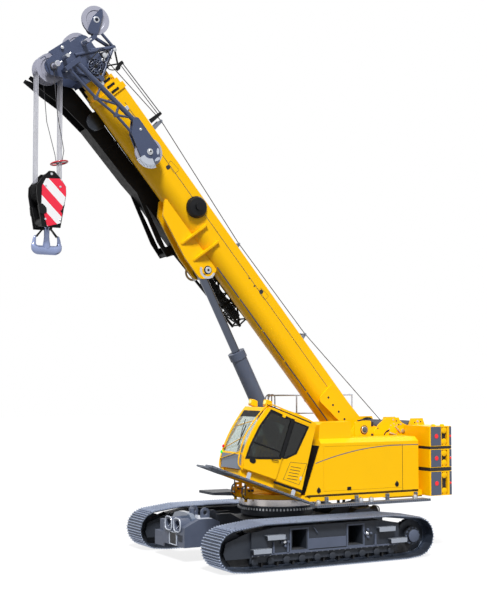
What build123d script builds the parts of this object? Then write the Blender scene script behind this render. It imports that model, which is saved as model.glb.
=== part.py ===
from build123d import *
from math import cos, pi, radians, sin, sqrt
import os

# A telescopic-boom crawler crane, standing on its extended tracks with its boom raised, the hook
# hanging, the cab tilted back and the jib and the heavy nose folded along the boom.
#
# Millimetres. +X is forward, +Y is the driver's (left) side, +Z is up, and the ground is Z = 0.
# Side views are drawn from the slewing axis (sketch X forward, sketch Y up). The boom and the cab
# have side views of their own, turned with them: (u, v) along and across the boom from its foot
# pin, and (x, z) of the level cab from its tilting pin.

os.makedirs("parts", exist_ok=True)

# ---------------------------------------------------------------- driving dimensions
SLEW_X = -1125.0  # the slewing axis, from the middle of the machine's length
FIT = 0.3  # running clearance round pins and between faces that slide
GAP = 5.0  # clearance between moving pieces that don't bear on each other

# tracks
TRACK_MID = 25.0  # the middle of the tracks, ahead of the slewing axis
TRACK_HALF_WIDTH = 2478.0  # from the middle of the machine to the outside of the shoes
SHOE_WIDTH = 837.0
SHOE_THICK = 50.0
SHOE_COUNT = 62
SHOE_GAP = 18.0
CHAIN_THICK = 50.0
CHAIN_WIDTH = 220.0
TRACK_HEIGHT = 1056.0
WHEEL_X = 2425.0  # idler ahead of the middle of the track, sprocket as far behind
WHEEL_Z = 500.0
WHEEL_TURN = 470.0  # radius of the track's outside round idler and sprocket
SHOULDER_X = 1710.0  # where the top run starts to slope down
FLAT_X = 2100.0  # half the length of track on the ground
TRACK_TRAVEL = 728.0  # how far each crawler slides in for transport
ROLLER_COUNT = 10
ROLLER_R = 100.0

# side frames and car body
FRAME_WIDTH = 500.0
FRAME_BOTTOM = 330.0
FRAME_TOP = 930.0
FRAME_WALL = 30.0
BEAM_X = 755.0  # cross beams, ahead of and behind the middle of the tracks
BEAM_LENGTH = 360.0
BEAM_HEIGHT = 430.0
BEAM_BOTTOM = 415.0
BEAM_WALL = 30.0
FRAME_INNER = TRACK_HALF_WIDTH - SHOE_WIDTH / 2 - FRAME_WIDTH / 2  # a side frame's inner face
BEAM_END = FRAME_INNER - 74.5
SOCKET_GAP = 8.0
SOCKET_WALL = 40.0
SLEEVE_END = FRAME_INNER - 429.5  # the sockets reach in past the side frame
BODY_HALF_LENGTH = 1200.0
BODY_HALF_WIDTH = 580.0
BODY_BOTTOM = 400.0
BODY_TOP = 905.0
WEIGHT_HALF_WIDTH = 570.0
WEIGHT_NOSE = 2780.0
WEIGHT_BACK = 1870.0
WEIGHT_BOTTOM = 350.0
LUG = (2120.0, 1100.0)  # a transport pin's hole, high enough to draw the pin over the tracks
LUG_R = 110.0

# slewing ring
RING_R = 930.0
RING_BORE_R = 760.0
RING_SEAT_IN = 50.0  # the car body's seat, in from the ring's teeth
RING_BOTTOM = 1070.0
RING_SPLIT = 1190.0
RING_TOP = 1340.0
RING_TEETH = 96

# turntable and housings
DECK_TOP = 1470.0
DECK_HALF_WIDTH = 1440.0
DECK_REAR = -3300.0
DECK_FRONT = -60.0
PROW_FRONT = 950.0
PROW_HALF_WIDTH = 360.0
CHEEK_INNER = 560.0
CHEEK_THICK = 60.0
WINCHES = (("main", -3050.0, 2930.0), ("auxiliary", -3800.0, 2900.0))  # name, x, z
WINCH_FLANGE_R = 265.0
WINCH_DRUM_R = 175.0
HOOD_OUTER = 1460.0
HOOD_INNER = 680.0
HOOD_FRONT_LOW = 95.0
HOOD_FRONT_HIGH = -330.0
HOOD_REAR = -3190.0
HOOD_FOLD = 2640.0
HOOD_TOP = 2780.0
HOOD_WALL = 40.0
DOOR_FRONT = -420.0
DOOR_REAR = -2700.0
DOOR_BOTTOM = 1560.0
DOOR_TOP = 2610.0
DOOR_PIN_R = 6.0
DOOR_PIN_IN = 10.0  # the hinge line, in from the door's outside
DOOR_PIN_DOWN = 20.0  # and down from the doorway's top
DOOR_PIN_REACH = 60.0
BOX_FRONT = -380.0
BOX_REAR = -1300.0
BOX_TOP = 3170.0
WALKWAY_OUTER = 1800.0
WALKWAY_TOP = 1280.0

# counterweight
WEIGHT_FRONT_X = -3358.0
WEIGHT_REAR_X = -4035.0
WEIGHT_SIDE = 1709.0
# name, bottom, top of the slab, top of the plinth that carries the next
SLABS = (
    ("lower", 1332.0, 1930.0, 2020.0),
    ("middle", 2020.0, 2470.0, 2540.0),
    ("upper", 2540.0, 3030.0, 3030.0),
)

# cab
CAB_TILT = 20.0
CAB_PIN = (150.0, 1430.0)
CAB_INNER = 380.0
CAB_OUTER = 1460.0
CAB_WALL = 45.0
DOOR_THICK = 40.0
GLASS = 10.0
CAB_DOOR_TRAVEL = 740.0

# boom
BOOM_ANGLE = 50.0
FOOT_PIN = (-2142.0, 2932.0)
FOOT_PIN_R = 90.0
SECTION_HALF_WIDTH = 345.0
SECTION_TOP = 230.0
SECTION_BOTTOM = -530.0
SECTION_STEP = 42.0  # how much smaller each section is inside the one before
SECTION_WALL = 16.0
SECTION_REAR = 300.0
SECTION_FRONT = 10180.0
COLLAR = 140.0
COLLAR_PROUD = 32.0
HEAD_BASE = SECTION_FRONT + 4 * COLLAR
HEAD_INNER = 300.0
HEAD_PLATE = 40.0
FRONT_AXLE = (HEAD_BASE + 740.0, -910.0)
REAR_AXLE = (HEAD_BASE + 760.0, 20.0)
ROOSTER_AXLE = (HEAD_BASE + 1010.0, 670.0)
ROOSTER_Y = 200.0
NOSE_AXLE = (HEAD_BASE - 2030.0, -370.0)
NOSE_Y = 610.0
SHEAVE_PITCH_R = 280.0
SHEAVE_RIM = 52.0
ROPE_R = 12.0
ROPE_SPACING = 90.0
ROPE_COUNT = 4

# luffing cylinder
ROD_PIN = (5660.0, -800.0)
CYLINDER_FOOT = (-340.0, 1950.0)
BARREL_R = 190.0
BARREL_BORE_R = 160.0
BARREL_LENGTH = 3250.0
ROD_R = 100.0
ROD_LENGTH = 3380.0
EYE_R = 140.0
ROD_PIN_R = 65.0
EYE_WIDTH = 220.0
EAR_GAP = 5.0
EAR_THICK = 60.0

# hook
HOIST_DROP = 2761.3  # from the head's front axle down to the hook block's
BLOCK_HALF_WIDTH = 300.0
HOOK_DROP = 1420.0  # from the block's axle down to the bottom of the hook


# ---------------------------------------------------------------- views and shapes
def side_view(y):
    """The side view from the slewing axis, in the plane at y."""
    return Plane(origin=(SLEW_X, y, 0), x_dir=(1, 0, 0), z_dir=(0, -1, 0))


def boom_view(y):
    """The boom's side view, along and across the boom from its foot pin."""
    along = (cos(radians(BOOM_ANGLE)), 0, sin(radians(BOOM_ANGLE)))
    return Plane(origin=(SLEW_X + FOOT_PIN[0], y, FOOT_PIN[1]), x_dir=along, z_dir=(0, -1, 0))


def boom_across(u):
    """The plane across the boom at u: sketch X to the left, sketch Y up from the boom."""
    middle = boom_view(0)
    return Plane(origin=middle.from_local_coords((u, 0, 0)), x_dir=(0, 1, 0), z_dir=middle.x_dir)


def cab_view(y):
    """The level cab's side view, from its tilting pin."""
    along = (cos(radians(CAB_TILT)), 0, sin(radians(CAB_TILT)))
    return Plane(origin=(SLEW_X + CAB_PIN[0], y, CAB_PIN[1]), x_dir=along, z_dir=(0, -1, 0))


def plate(outline, left, width, view=side_view):
    """A flat plate with straight edges, from y = left towards the right."""
    with BuildPart() as piece:
        with BuildSketch(view(left)):
            with BuildLine():
                Polyline(*outline, close=True)
            make_face()
        extrude(amount=width)
    return piece.part


def link(circles, left, width, view=side_view):
    """A plate whose outline is drawn tight round circles of (x, y, radius)."""
    with BuildPart() as piece:
        with BuildSketch(view(left)):
            for x, y, radius in circles:
                with Locations((x, y)):
                    Circle(radius)
            if len(circles) > 1:
                make_hull()
        extrude(amount=width)
    return piece.part


def ring(centre, outer, inner, left, width, view=side_view):
    """A ring or bush across the machine."""
    with BuildPart() as piece:
        with BuildSketch(view(left)):
            with Locations(centre):
                Circle(outer)
                Circle(inner, mode=Mode.SUBTRACT)
        extrude(amount=width)
    return piece.part


def bar(start, end, radius):
    """A round bar or tube between two points."""
    run = Vector(*end) - Vector(*start)
    with BuildPart() as piece:
        with BuildSketch(Plane(origin=start, z_dir=run)):
            Circle(radius)
        extrude(amount=run.length)
    return piece.part


def place(view, x, y, z):
    """The point (x, z) of a side view, in the plane at y."""
    return tuple(view(y).from_local_coords((x, z, 0)))


def across(side, inner, outer):
    """The left face and the width of what lies from inner to outer on one side (+1 left)."""
    return (outer if side > 0 else -inner), outer - inner


def mirrored(piece):
    """The same piece on the other side of the machine."""
    return piece.mirror(Plane.XZ)


def save(piece, name):
    """Labels a finished piece and writes its STEP file."""
    piece.label = name
    export_step(piece, f"parts/{name}.step")


def section_outline(step, grow=0.0):
    """Half width, top and bottom of boom section number step, or of that outline grown."""
    half = SECTION_HALF_WIDTH - step * SECTION_STEP + grow
    top = SECTION_TOP - step * SECTION_STEP + grow
    bottom = SECTION_BOTTOM + step * SECTION_STEP - grow
    return half, top, bottom


def section_solid(step, start, end, grow=0.0):
    """A length of boom with a flat top, square shoulders and a round belly."""
    half, top, bottom = section_outline(step, grow)
    with BuildPart() as piece:
        with BuildSketch(boom_across(start)):
            with Locations((0, bottom + half)):
                Circle(half)
            with Locations((0, (top + bottom + half) / 2)):
                Rectangle(2 * half, top - bottom - half)
        extrude(amount=end - start)
    return piece.part


def boom_section(step, rear, front):
    """One telescoping section: a thin tube whose collar carries the next section."""
    with BuildPart() as piece:
        add(section_solid(step, rear, front))
        add(section_solid(step, front, front + COLLAR, COLLAR_PROUD))
        add(section_solid(step, rear, front, -SECTION_WALL), mode=Mode.SUBTRACT)
        add(section_solid(step + 1, front, front + COLLAR, FIT), mode=Mode.SUBTRACT)
    return piece.part


def sheave(centre, y, view, bore, pitch=SHEAVE_PITCH_R, width=56.0):
    """A rope sheave: hub, thin web and a rim with a groove for the rope."""
    rim = pitch + SHEAVE_RIM
    floor = pitch - ROPE_R - FIT
    half = width / 2
    hub = place(view, centre[0], y, centre[1])
    with BuildPart() as piece:
        with BuildSketch(Plane(origin=hub, x_dir=(0, 1, 0), z_dir=(1, 0, 0))):
            with BuildLine():
                Polyline(
                    (-half, bore), (half, bore), (half, bore + 45), (14, bore + 60),
                    (14, floor - 55), (half, floor - 35), (half, rim), (20, rim),
                    (15, floor), (-15, floor), (-20, rim), (-half, rim),
                    (-half, floor - 35), (-14, floor - 55), (-14, bore + 60), (-half, bore + 45),
                    close=True,
                )
            make_face()
        revolve(axis=Axis(hub, (0, 1, 0)))
    return piece.part


# ---------------------------------------------------------------- tracks
def track_circles(inset):
    """The circles that a loop of track, inset from its outside, is drawn round."""
    return [
        (TRACK_MID + sign * x, z, radius - inset)
        for sign in (1, -1)
        for x, z, radius in (
            (WHEEL_X, WHEEL_Z, WHEEL_TURN),
            (SHOULDER_X, TRACK_HEIGHT - 300, 300),
            (FLAT_X, 300, 300),
        )
    ]


def track_loop():
    """The shoes, each a flat plate, on an endless chain."""
    middle = TRACK_HALF_WIDTH - SHOE_WIDTH / 2
    with BuildPart(mode=Mode.PRIVATE) as path:
        with BuildSketch(side_view(middle)):
            for x, z, radius in track_circles(SHOE_THICK / 2):
                with Locations((x, z)):
                    Circle(radius)
            make_hull()
        extrude(amount=1)
    wire = path.faces().sort_by(Axis.Y)[-1].outer_wire()
    shoe = wire.length / SHOE_COUNT - SHOE_GAP
    with BuildPart() as piece:
        with BuildSketch(side_view(middle + CHAIN_WIDTH / 2)):
            for inset, mode in ((SHOE_THICK - 8, Mode.ADD), (SHOE_THICK + CHAIN_THICK, Mode.SUBTRACT)):
                add(loop_sketch(inset), mode=mode)
        extrude(amount=CHAIN_WIDTH)
        for number in range(SHOE_COUNT):
            at = (number + 0.5) / SHOE_COUNT
            heel, toe = (wire.position_at(at + end * shoe / wire.length / 2) for end in (-1, 1))
            with Locations(Plane(origin=(heel + toe) / 2, x_dir=toe - heel, z_dir=(0, -1, 0))):
                Box(shoe, SHOE_THICK, SHOE_WIDTH)
    return piece.part


def loop_sketch(inset):
    """The area inside a loop of track, inset from its outside."""
    with BuildSketch() as area:
        for x, z, radius in track_circles(inset):
            with Locations((x, z)):
                Circle(radius)
        make_hull()
    return area.sketch


def side_frame():
    """The box that carries a track: sockets for the cross beams, roller rails, steps."""
    middle = TRACK_HALF_WIDTH - SHOE_WIDTH / 2
    inner, outer = middle - FRAME_WIDTH / 2, middle + FRAME_WIDTH / 2
    rail = CHAIN_WIDTH / 2 + 55
    box = [
        (-1950, FRAME_BOTTOM), (2000, FRAME_BOTTOM), (2000, 840), (1450, FRAME_TOP),
        (-1450, FRAME_TOP), (-1950, 830),
    ]
    nose = [(1990, 290), (2610, 290), (2660, 420), (2610, 650), (1990, 860)]
    tail = [(-1940, 290), (-2350, 260), (-2650, 400), (-2650, 620), (-2350, 760), (-1940, 830)]
    with BuildPart() as piece:
        add(plate(box, outer, FRAME_WIDTH))
        skirt = [(-1950, 180), (2010, 180), (2010, 360), (-1950, 360)]
        for far in (middle - rail, middle + rail + FRAME_WALL):
            add(plate(nose, far, FRAME_WALL))
            add(plate(skirt, far, FRAME_WALL))
        add(plate(tail, middle - rail, FRAME_WALL))
        for sign in (1, -1):
            low, high = BEAM_BOTTOM - FIT, BEAM_BOTTOM + BEAM_HEIGHT + FIT
            half = BEAM_LENGTH / 2 + SOCKET_GAP
            at = TRACK_MID + sign * BEAM_X
            wide = half + SOCKET_WALL
            sleeve = [(at - wide, low - SOCKET_WALL), (at + wide, low - SOCKET_WALL),
                      (at + wide, high + SOCKET_WALL), (at - wide, high + SOCKET_WALL)]
            hole = [(at - half, low), (at + half, low), (at + half, high), (at - half, high)]
            add(plate(sleeve, outer, outer - SLEEVE_END))
            add(plate(hole, outer + 1, outer - SLEEVE_END + 2), mode=Mode.SUBTRACT)
        for x in roller_places():
            bore = (x, ROLLER_R * 2 + FIT, 33 + FIT)
            add(link([bore], middle + rail + 60, 2 * rail + 120), mode=Mode.SUBTRACT)
        for x, z in ((1440, 720), (1790, 440), (-1540, 720), (-1870, 440)):
            step = [(x - 230, z), (x + 230, z), (x + 230, z + 40), (x - 230, z + 40)]
            add(plate(step, outer + 130, 131))
    return piece.part


def roller_places():
    """The places of the bottom rollers along the track."""
    first, last = -1750.0, 1900.0
    return [first + (last - first) * number / (ROLLER_COUNT - 1) for number in range(ROLLER_COUNT)]


def roller_row():
    """The bottom rollers, each turned with its axle, flanges and end caps."""
    middle = TRACK_HALF_WIDTH - SHOE_WIDTH / 2
    rail = CHAIN_WIDTH / 2 + 55
    profile = ((0, ROLLER_R), (CHAIN_WIDTH / 2 - 30, ROLLER_R), (CHAIN_WIDTH / 2 + 40, ROLLER_R - 18),
               (CHAIN_WIDTH / 2 + 40, 33), (rail + FRAME_WALL + 20, 33), (rail + FRAME_WALL + 20, 0))
    with BuildPart() as piece:
        for x in roller_places():
            centre = place(side_view, x, middle, ROLLER_R * 2 + FIT)
            with BuildSketch(Plane(origin=centre, x_dir=(0, 1, 0), z_dir=(1, 0, 0))):
                with BuildLine():
                    Polyline(*[(-y, r) for y, r in reversed(profile)], *profile[1:], close=True)
                make_face()
            revolve(axis=Axis(centre, (0, 1, 0)))
    return piece.part


def track_wheel(x, teeth):
    """An idler, or a sprocket with its final drive where it has teeth."""
    middle = TRACK_HALF_WIDTH - SHOE_WIDTH / 2
    rail = CHAIN_WIDTH / 2 + 55
    tip = WHEEL_TURN - SHOE_THICK - CHAIN_THICK - FIT
    centre = (TRACK_MID + x, WHEEL_Z)
    with BuildPart() as piece:
        add(ring(centre, tip, 60, middle + 70, 140))
        if teeth:
            with BuildSketch(side_view(middle + 71)):
                with Locations(centre):
                    with PolarLocations(tip + 8, teeth):
                        Circle(28)
            extrude(amount=142, mode=Mode.SUBTRACT)
            add(link([(*centre, 215)], middle + 185, 185 + rail))
            add(link([(*centre, 150)], middle + 230, 230 + rail))
        else:
            add(ring(centre, 150, 60, middle + 150, 300))
            add(link([(*centre, 60)], middle + rail, 2 * rail))
    return piece.part


for name, piece in (
    ("track", track_loop()), ("side_frame", side_frame()), ("rollers", roller_row()),
    ("idler", track_wheel(WHEEL_X, 0)), ("sprocket", track_wheel(-WHEEL_X, 11)),
):
    save(piece, f"left_{name}")
    save(mirrored(piece), f"right_{name}")

# ---------------------------------------------------------------- car body
with BuildPart() as car_body:
    with BuildSketch(Plane.XY.offset(BODY_BOTTOM)):
        with Locations((SLEW_X + TRACK_MID, 0)):
            Rectangle(2 * BODY_HALF_LENGTH, 2 * BODY_HALF_WIDTH)
    extrude(amount=BODY_TOP - BODY_BOTTOM)
    for sign in (1, -1):
        with Locations((SLEW_X + TRACK_MID + sign * BEAM_X, 0, BEAM_BOTTOM + BEAM_HEIGHT / 2)):
            Box(BEAM_LENGTH, 2 * BEAM_END, BEAM_HEIGHT)
    for sign in (1, -1):
        for end in (1, -1):
            at = (SLEW_X + TRACK_MID + sign * BEAM_X, end * (BEAM_END - 290), BEAM_BOTTOM + BEAM_HEIGHT / 2)
            with Locations(at):
                Box(BEAM_LENGTH - 2 * BEAM_WALL, 581, BEAM_HEIGHT - 2 * BEAM_WALL, mode=Mode.SUBTRACT)
    # the ring's seat, over a narrower neck that the slid-in side frames pass
    for radius, bottom in ((BODY_HALF_WIDTH, BODY_TOP - 20), (RING_R - RING_SEAT_IN, FRAME_TOP + 4 * GAP)):
        with BuildSketch(Plane.XY.offset(bottom)):
            with Locations((SLEW_X, 0)):
                Circle(radius)
        extrude(amount=RING_BOTTOM - bottom)
    with BuildSketch(Plane.XY.offset(FRAME_TOP + 4 * GAP + FRAME_WALL)):
        with Locations((SLEW_X, 0)):
            Circle(RING_BORE_R)
    extrude(amount=RING_BOTTOM - FRAME_TOP, mode=Mode.SUBTRACT)
    for sign in (1, -1):
        for y in (450, -450 + 80):
            near, far = BODY_HALF_LENGTH - 20, WEIGHT_BACK - TRACK_MID
            reach = ((near, 450), (far, 450), (far, 1060), (near + 320, 1060), (near, 880))
            add(plate([(TRACK_MID + sign * x, z) for x, z in reach], y, 80))
save(car_body.part, "car_body")

with BuildPart() as slewing_ring:
    with BuildSketch(Plane.XY.offset(RING_BOTTOM)):
        with Locations((SLEW_X, 0)):
            Circle(RING_R)
            Circle(RING_BORE_R, mode=Mode.SUBTRACT)
            with PolarLocations(RING_R, RING_TEETH):
                Rectangle(36, pi * RING_R / RING_TEETH, mode=Mode.SUBTRACT)
    extrude(amount=RING_SPLIT - RING_BOTTOM)
save(slewing_ring.part, "slewing_ring")


def car_body_weight():
    """The front ballast casting: a sloping nose with two tubes, a pocket and lifting lugs."""
    side_outline = [
        (WEIGHT_BACK, WEIGHT_BOTTOM), (WEIGHT_NOSE, WEIGHT_BOTTOM), (WEIGHT_NOSE, 800),
        (2390, 980), (2050, 980), (WEIGHT_BACK, 900),
    ]
    with BuildPart() as piece:
        add(plate(side_outline, WEIGHT_HALF_WIDTH, 2 * WEIGHT_HALF_WIDTH))
        for y in (230, -230):
            add(bar(place(side_view, 2250, y, 830), place(side_view, WEIGHT_NOSE + 20, y, 830), 155))
            bore = place(side_view, 2600, y, 830), place(side_view, WEIGHT_NOSE + 21, y, 830)
            add(bar(*bore, 115), mode=Mode.SUBTRACT)
        pocket = [(2550, 410), (WEIGHT_NOSE + 1, 410), (WEIGHT_NOSE + 1, 640), (2550, 640)]
        add(plate(pocket, 130, 260), mode=Mode.SUBTRACT)
        add(bar(place(side_view, 2300, 0, 960), place(side_view, 2300, 0, 1180), 60))
        for left in (330, -270):
            add(link([(*LUG, LUG_R), (LUG[0], 950, LUG_R)], left, 60))
            add(link([(*LUG, 60)], left + 1, 62), mode=Mode.SUBTRACT)
    return piece.part


front_weight = car_body_weight()
save(front_weight, "front_weight")
rear_weight = front_weight.mirror(Plane(origin=(SLEW_X + TRACK_MID, 0, 0), z_dir=(1, 0, 0)))
save(rear_weight, "rear_weight")

# ---------------------------------------------------------------- turntable
with BuildPart() as turntable:
    with BuildSketch(Plane.XY.offset(RING_TOP)):
        with Locations((SLEW_X + (DECK_REAR + DECK_FRONT) / 2, 0)):
            Rectangle(DECK_FRONT - DECK_REAR, 2 * DECK_HALF_WIDTH)
        with Locations((SLEW_X + (DECK_REAR + PROW_FRONT) / 2, 0)):
            Rectangle(PROW_FRONT - DECK_REAR, 2 * PROW_HALF_WIDTH)
        # the slot that the luffing cylinder swings down into
        with Locations((SLEW_X + (-620 + PROW_FRONT) / 2, 0)):
            Rectangle(PROW_FRONT + 620, EYE_WIDTH + 4 * GAP, mode=Mode.SUBTRACT)
        with Locations((SLEW_X + (-80 + PROW_FRONT) / 2, 0)):
            Rectangle(PROW_FRONT + 80, 2 * (BARREL_R + 35), mode=Mode.SUBTRACT)
    extrude(amount=DECK_TOP - RING_TOP)
    # cheeks: boom foot, then a hump for each winch
    for left in (CHEEK_INNER + CHEEK_THICK, -CHEEK_INNER):
        with BuildSketch(side_view(left)):
            with BuildLine():
                Polyline(
                    (-550, DECK_TOP - 5), (-760, 1780), (-1900, 3060), (-2142, 3130), (-2600, 2980),
                    (-3050, 2980), (-3800, 2980), (-4010, 2900), (-4010, 2640), (DECK_REAR, 2640),
                    (DECK_REAR, DECK_TOP - 5), close=True,
                )
            make_face()
            with Locations(FOOT_PIN):
                Circle(230)
            for _, x, z in WINCHES:
                with BuildLine():
                    Polyline((x - 290, z), (x - 175, z + 290), (x + 175, z + 290), (x + 290, z), close=True)
                make_face()
        extrude(amount=CHEEK_THICK)
    for x, top in ((-3250, 2500), (-2350, 2300)):
        wall = [(x - 40, DECK_TOP - 5), (x + 40, DECK_TOP - 5), (x + 40, top), (x - 40, top)]
        add(plate(wall, CHEEK_INNER + 1, 2 * CHEEK_INNER + 2))
    # boom foot pin, cylinder foot ears, cab bearing, counterweight arms
    add(bar(place(side_view, FOOT_PIN[0], CHEEK_INNER + CHEEK_THICK + 40, FOOT_PIN[1]),
            place(side_view, FOOT_PIN[0], -CHEEK_INNER - CHEEK_THICK - 40, FOOT_PIN[1]), FOOT_PIN_R))
    for sign in (1, -1):
        inner = BARREL_R + 2 * GAP
        add(link([(*CYLINDER_FOOT, 190), (-560, DECK_TOP + 20, 40), (-180, DECK_TOP + 20, 40)],
                 *across(sign, inner, inner + EAR_THICK)))
        arm = [(DECK_REAR - 650, 1200), (-2900, 1200), (-2900, RING_TOP + 5), (DECK_REAR - 10, RING_TOP + 5),
               (DECK_REAR - 30, SLABS[0][1]), (DECK_REAR - 650, SLABS[0][1])]
        add(plate(arm, *across(sign, 300, 600)))
        # cab bearing ears
    for y in (CAB_INNER + 60, CAB_OUTER - 20):
        add(link([(*CAB_PIN, 50), (-70, RING_TOP + 30, 30), (60, RING_TOP + 30, 30)], y, 40))
    add(link([(*CAB_PIN, 30)], CAB_OUTER - 10, CAB_OUTER - CAB_INNER - 20))
    sill = [(-70, RING_TOP), (90, RING_TOP), (90, RING_TOP + 20), (-70, RING_TOP + 20)]
    add(plate(sill, DECK_HALF_WIDTH, DECK_HALF_WIDTH - 300))
save(turntable.part, "turntable")

with BuildPart() as turntable_ring:
    with BuildSketch(Plane.XY.offset(RING_SPLIT + FIT)):
        with Locations((SLEW_X, 0)):
            Circle(RING_R)
            Circle(RING_BORE_R, mode=Mode.SUBTRACT)
    extrude(amount=RING_TOP - RING_SPLIT - FIT)
save(turntable_ring.part, "turntable_ring")

for winch, x, z in WINCHES:
    with BuildPart() as drum:
        add(link([(x, z, WINCH_DRUM_R)], CHEEK_INNER - 60, 2 * CHEEK_INNER - 120))
        for left in (CHEEK_INNER - 30, -CHEEK_INNER + 60):
            add(link([(x, z, WINCH_FLANGE_R)], left, 30))
        add(link([(x, z, 110)], CHEEK_INNER, 2 * CHEEK_INNER))
    save(drum.part, f"{winch}_winch")


# ---------------------------------------------------------------- housings
def hood(with_box):
    """A left housing: walls, a sloping front, a bevelled roof and a doorway, open below."""
    def outline(inset):
        floor = DECK_TOP - (1 if inset else 0)
        return [
            (HOOD_FRONT_LOW - inset, floor), (HOOD_FRONT_HIGH - inset, HOOD_FOLD),
            (HOOD_FRONT_HIGH - 40 - inset, HOOD_TOP - inset), (HOOD_REAR + inset, HOOD_TOP - inset),
            (HOOD_REAR + inset, floor),
        ]

    with BuildPart() as piece:
        add(plate(outline(0), HOOD_OUTER, HOOD_OUTER - HOOD_INNER))
        chamfer(piece.edges().filter_by(Axis.X).group_by(Axis.Z)[-1].sort_by(Axis.Y)[-1], 139, 100)
        roofed = HOOD_OUTER - HOOD_INNER - 150 - HOOD_WALL
        add(plate(outline(HOOD_WALL), HOOD_OUTER - 150, roofed), mode=Mode.SUBTRACT)
        low = [(x, min(z, HOOD_FOLD - 20)) for x, z in outline(HOOD_WALL)]
        add(plate(low, HOOD_OUTER - HOOD_WALL, 150), mode=Mode.SUBTRACT)
        opening = [(x, z) for x, z in ((DOOR_FRONT, DOOR_BOTTOM), (DOOR_FRONT, DOOR_TOP),
                                       (DOOR_REAR, DOOR_TOP), (DOOR_REAR, DOOR_BOTTOM))]
        add(plate(opening, HOOD_OUTER + 1, HOOD_WALL + 2), mode=Mode.SUBTRACT)
        box = [(BOX_FRONT, HOOD_TOP - 1), (BOX_FRONT - 30, BOX_TOP - 60), (BOX_FRONT - 90, BOX_TOP),
               (BOX_REAR, BOX_TOP), (BOX_REAR, HOOD_TOP - 1)]
        if with_box:
            add(plate(box, HOOD_OUTER - 150, 560))
        for x in (DOOR_FRONT + 1, DOOR_REAR + DOOR_PIN_REACH):
            add(door_pin(x, DOOR_PIN_REACH + 1, DOOR_PIN_R))
    return piece.part


def door_pin(front, length, radius):
    """A pin along the service door's hinge, from its front end."""
    rear = place(side_view, front - length, HOOD_OUTER - DOOR_PIN_IN, DOOR_TOP - DOOR_PIN_DOWN)
    with BuildPart() as piece:
        with BuildSketch(Plane(origin=rear, x_dir=(0, 1, 0), z_dir=(1, 0, 0))):
            Circle(radius)
        extrude(amount=length)
    return piece.part


def service_door():
    """The left housing's door, hinged along its top edge."""
    outline = [(DOOR_FRONT - GAP, DOOR_BOTTOM + GAP), (DOOR_FRONT - GAP, DOOR_TOP - GAP),
               (DOOR_REAR + GAP, DOOR_TOP - GAP), (DOOR_REAR + GAP, DOOR_BOTTOM + GAP)]
    with BuildPart() as piece:
        add(plate(outline, HOOD_OUTER, HOOD_WALL))
        for x in (DOOR_FRONT, DOOR_REAR + DOOR_PIN_REACH + FIT):
            add(door_pin(x, DOOR_PIN_REACH + FIT, DOOR_PIN_R + FIT), mode=Mode.SUBTRACT)
    return piece.part


save(hood(with_box=True), "left_hood")
save(mirrored(hood(with_box=False)), "right_hood")
left_door = service_door()
save(left_door, "left_service_door")
save(mirrored(left_door), "right_service_door")

with BuildPart() as engine:
    add(plate([(-2950, DECK_TOP), (-1500, DECK_TOP), (-1500, 2450), (-2950, 2450)], -800, 540))
save(engine.part, "engine")
with BuildPart() as hydraulic_tank:
    add(plate([(-2950, DECK_TOP), (-600, DECK_TOP), (-600, 2350), (-2950, 2350)], 1320, 520))
save(hydraulic_tank.part, "hydraulic_tank")

with BuildPart() as walkways:
    for sign in (1, -1):
        under = WALKWAY_TOP - 50
        tread = [(-30, under), (-30, WALKWAY_TOP), (DECK_REAR, WALKWAY_TOP), (DECK_REAR, under)]
        add(plate(tread, *across(sign, DECK_HALF_WIDTH + 30, WALKWAY_OUTER)))
        for x in (-450, -1300, -2200, -3050):
            low, high = WALKWAY_TOP - 30, RING_TOP + 90
            add(plate([(x, low), (x, high), (x - 80, high), (x - 80, low)],
                      *across(sign, DECK_HALF_WIDTH, DECK_HALF_WIDTH + 60)))
save(walkways.part, "walkways")

RAIL_R = 20.0
RAIL_Y = -1280.0
RAIL_TOP = 3770.0
with BuildPart() as guard_rails:
    for z in (3300, RAIL_TOP):
        add(bar(place(side_view, -480, RAIL_Y, z), place(side_view, -3100, RAIL_Y, z), RAIL_R))
    for x in (-500, -1350, -2200, -3080):
        add(bar(place(side_view, x, RAIL_Y, HOOD_TOP), place(side_view, x, RAIL_Y, RAIL_TOP), RAIL_R))
save(guard_rails.part, "guard_rails")

# ---------------------------------------------------------------- counterweight
for name, bottom, top, plinth in SLABS:
    with BuildPart() as slab:
        with BuildSketch(Plane.XY.offset(bottom)):
            with Locations((SLEW_X + (WEIGHT_FRONT_X + WEIGHT_REAR_X) / 2, 0)):
                RectangleRounded(WEIGHT_FRONT_X - WEIGHT_REAR_X, 2 * WEIGHT_SIDE, 40)
        extrude(amount=top - bottom)
        for sign in (1, -1):
            niche = [(-3720, bottom + 30), (-3890, bottom + 30), (-3890, top - 30), (-3720, top - 30)]
            add(plate(niche, *across(sign, WEIGHT_SIDE - 70, WEIGHT_SIDE + 1)), mode=Mode.SUBTRACT)
            for z in (bottom + 110, top - 110):
                add(link([(-3805, z, 34)], *across(sign, WEIGHT_SIDE - 75, WEIGHT_SIDE - 4)))
        if plinth > top:
            with BuildSketch(Plane.XY.offset(top)):
                with Locations((SLEW_X + (WEIGHT_FRONT_X + WEIGHT_REAR_X) / 2, 0)):
                    Rectangle(WEIGHT_FRONT_X - WEIGHT_REAR_X - 100, 2 * WEIGHT_SIDE - 100)
            extrude(amount=plinth - top)
        else:
            trough = [(0, bottom + 70), (-4100, bottom + 70), (-4100, top + 10), (0, top + 10)]
            half = CHEEK_INNER + CHEEK_THICK + 60
            add(plate(trough, half, 2 * half), mode=Mode.SUBTRACT)
    save(slab.part, f"{name}_counterweight")

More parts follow.
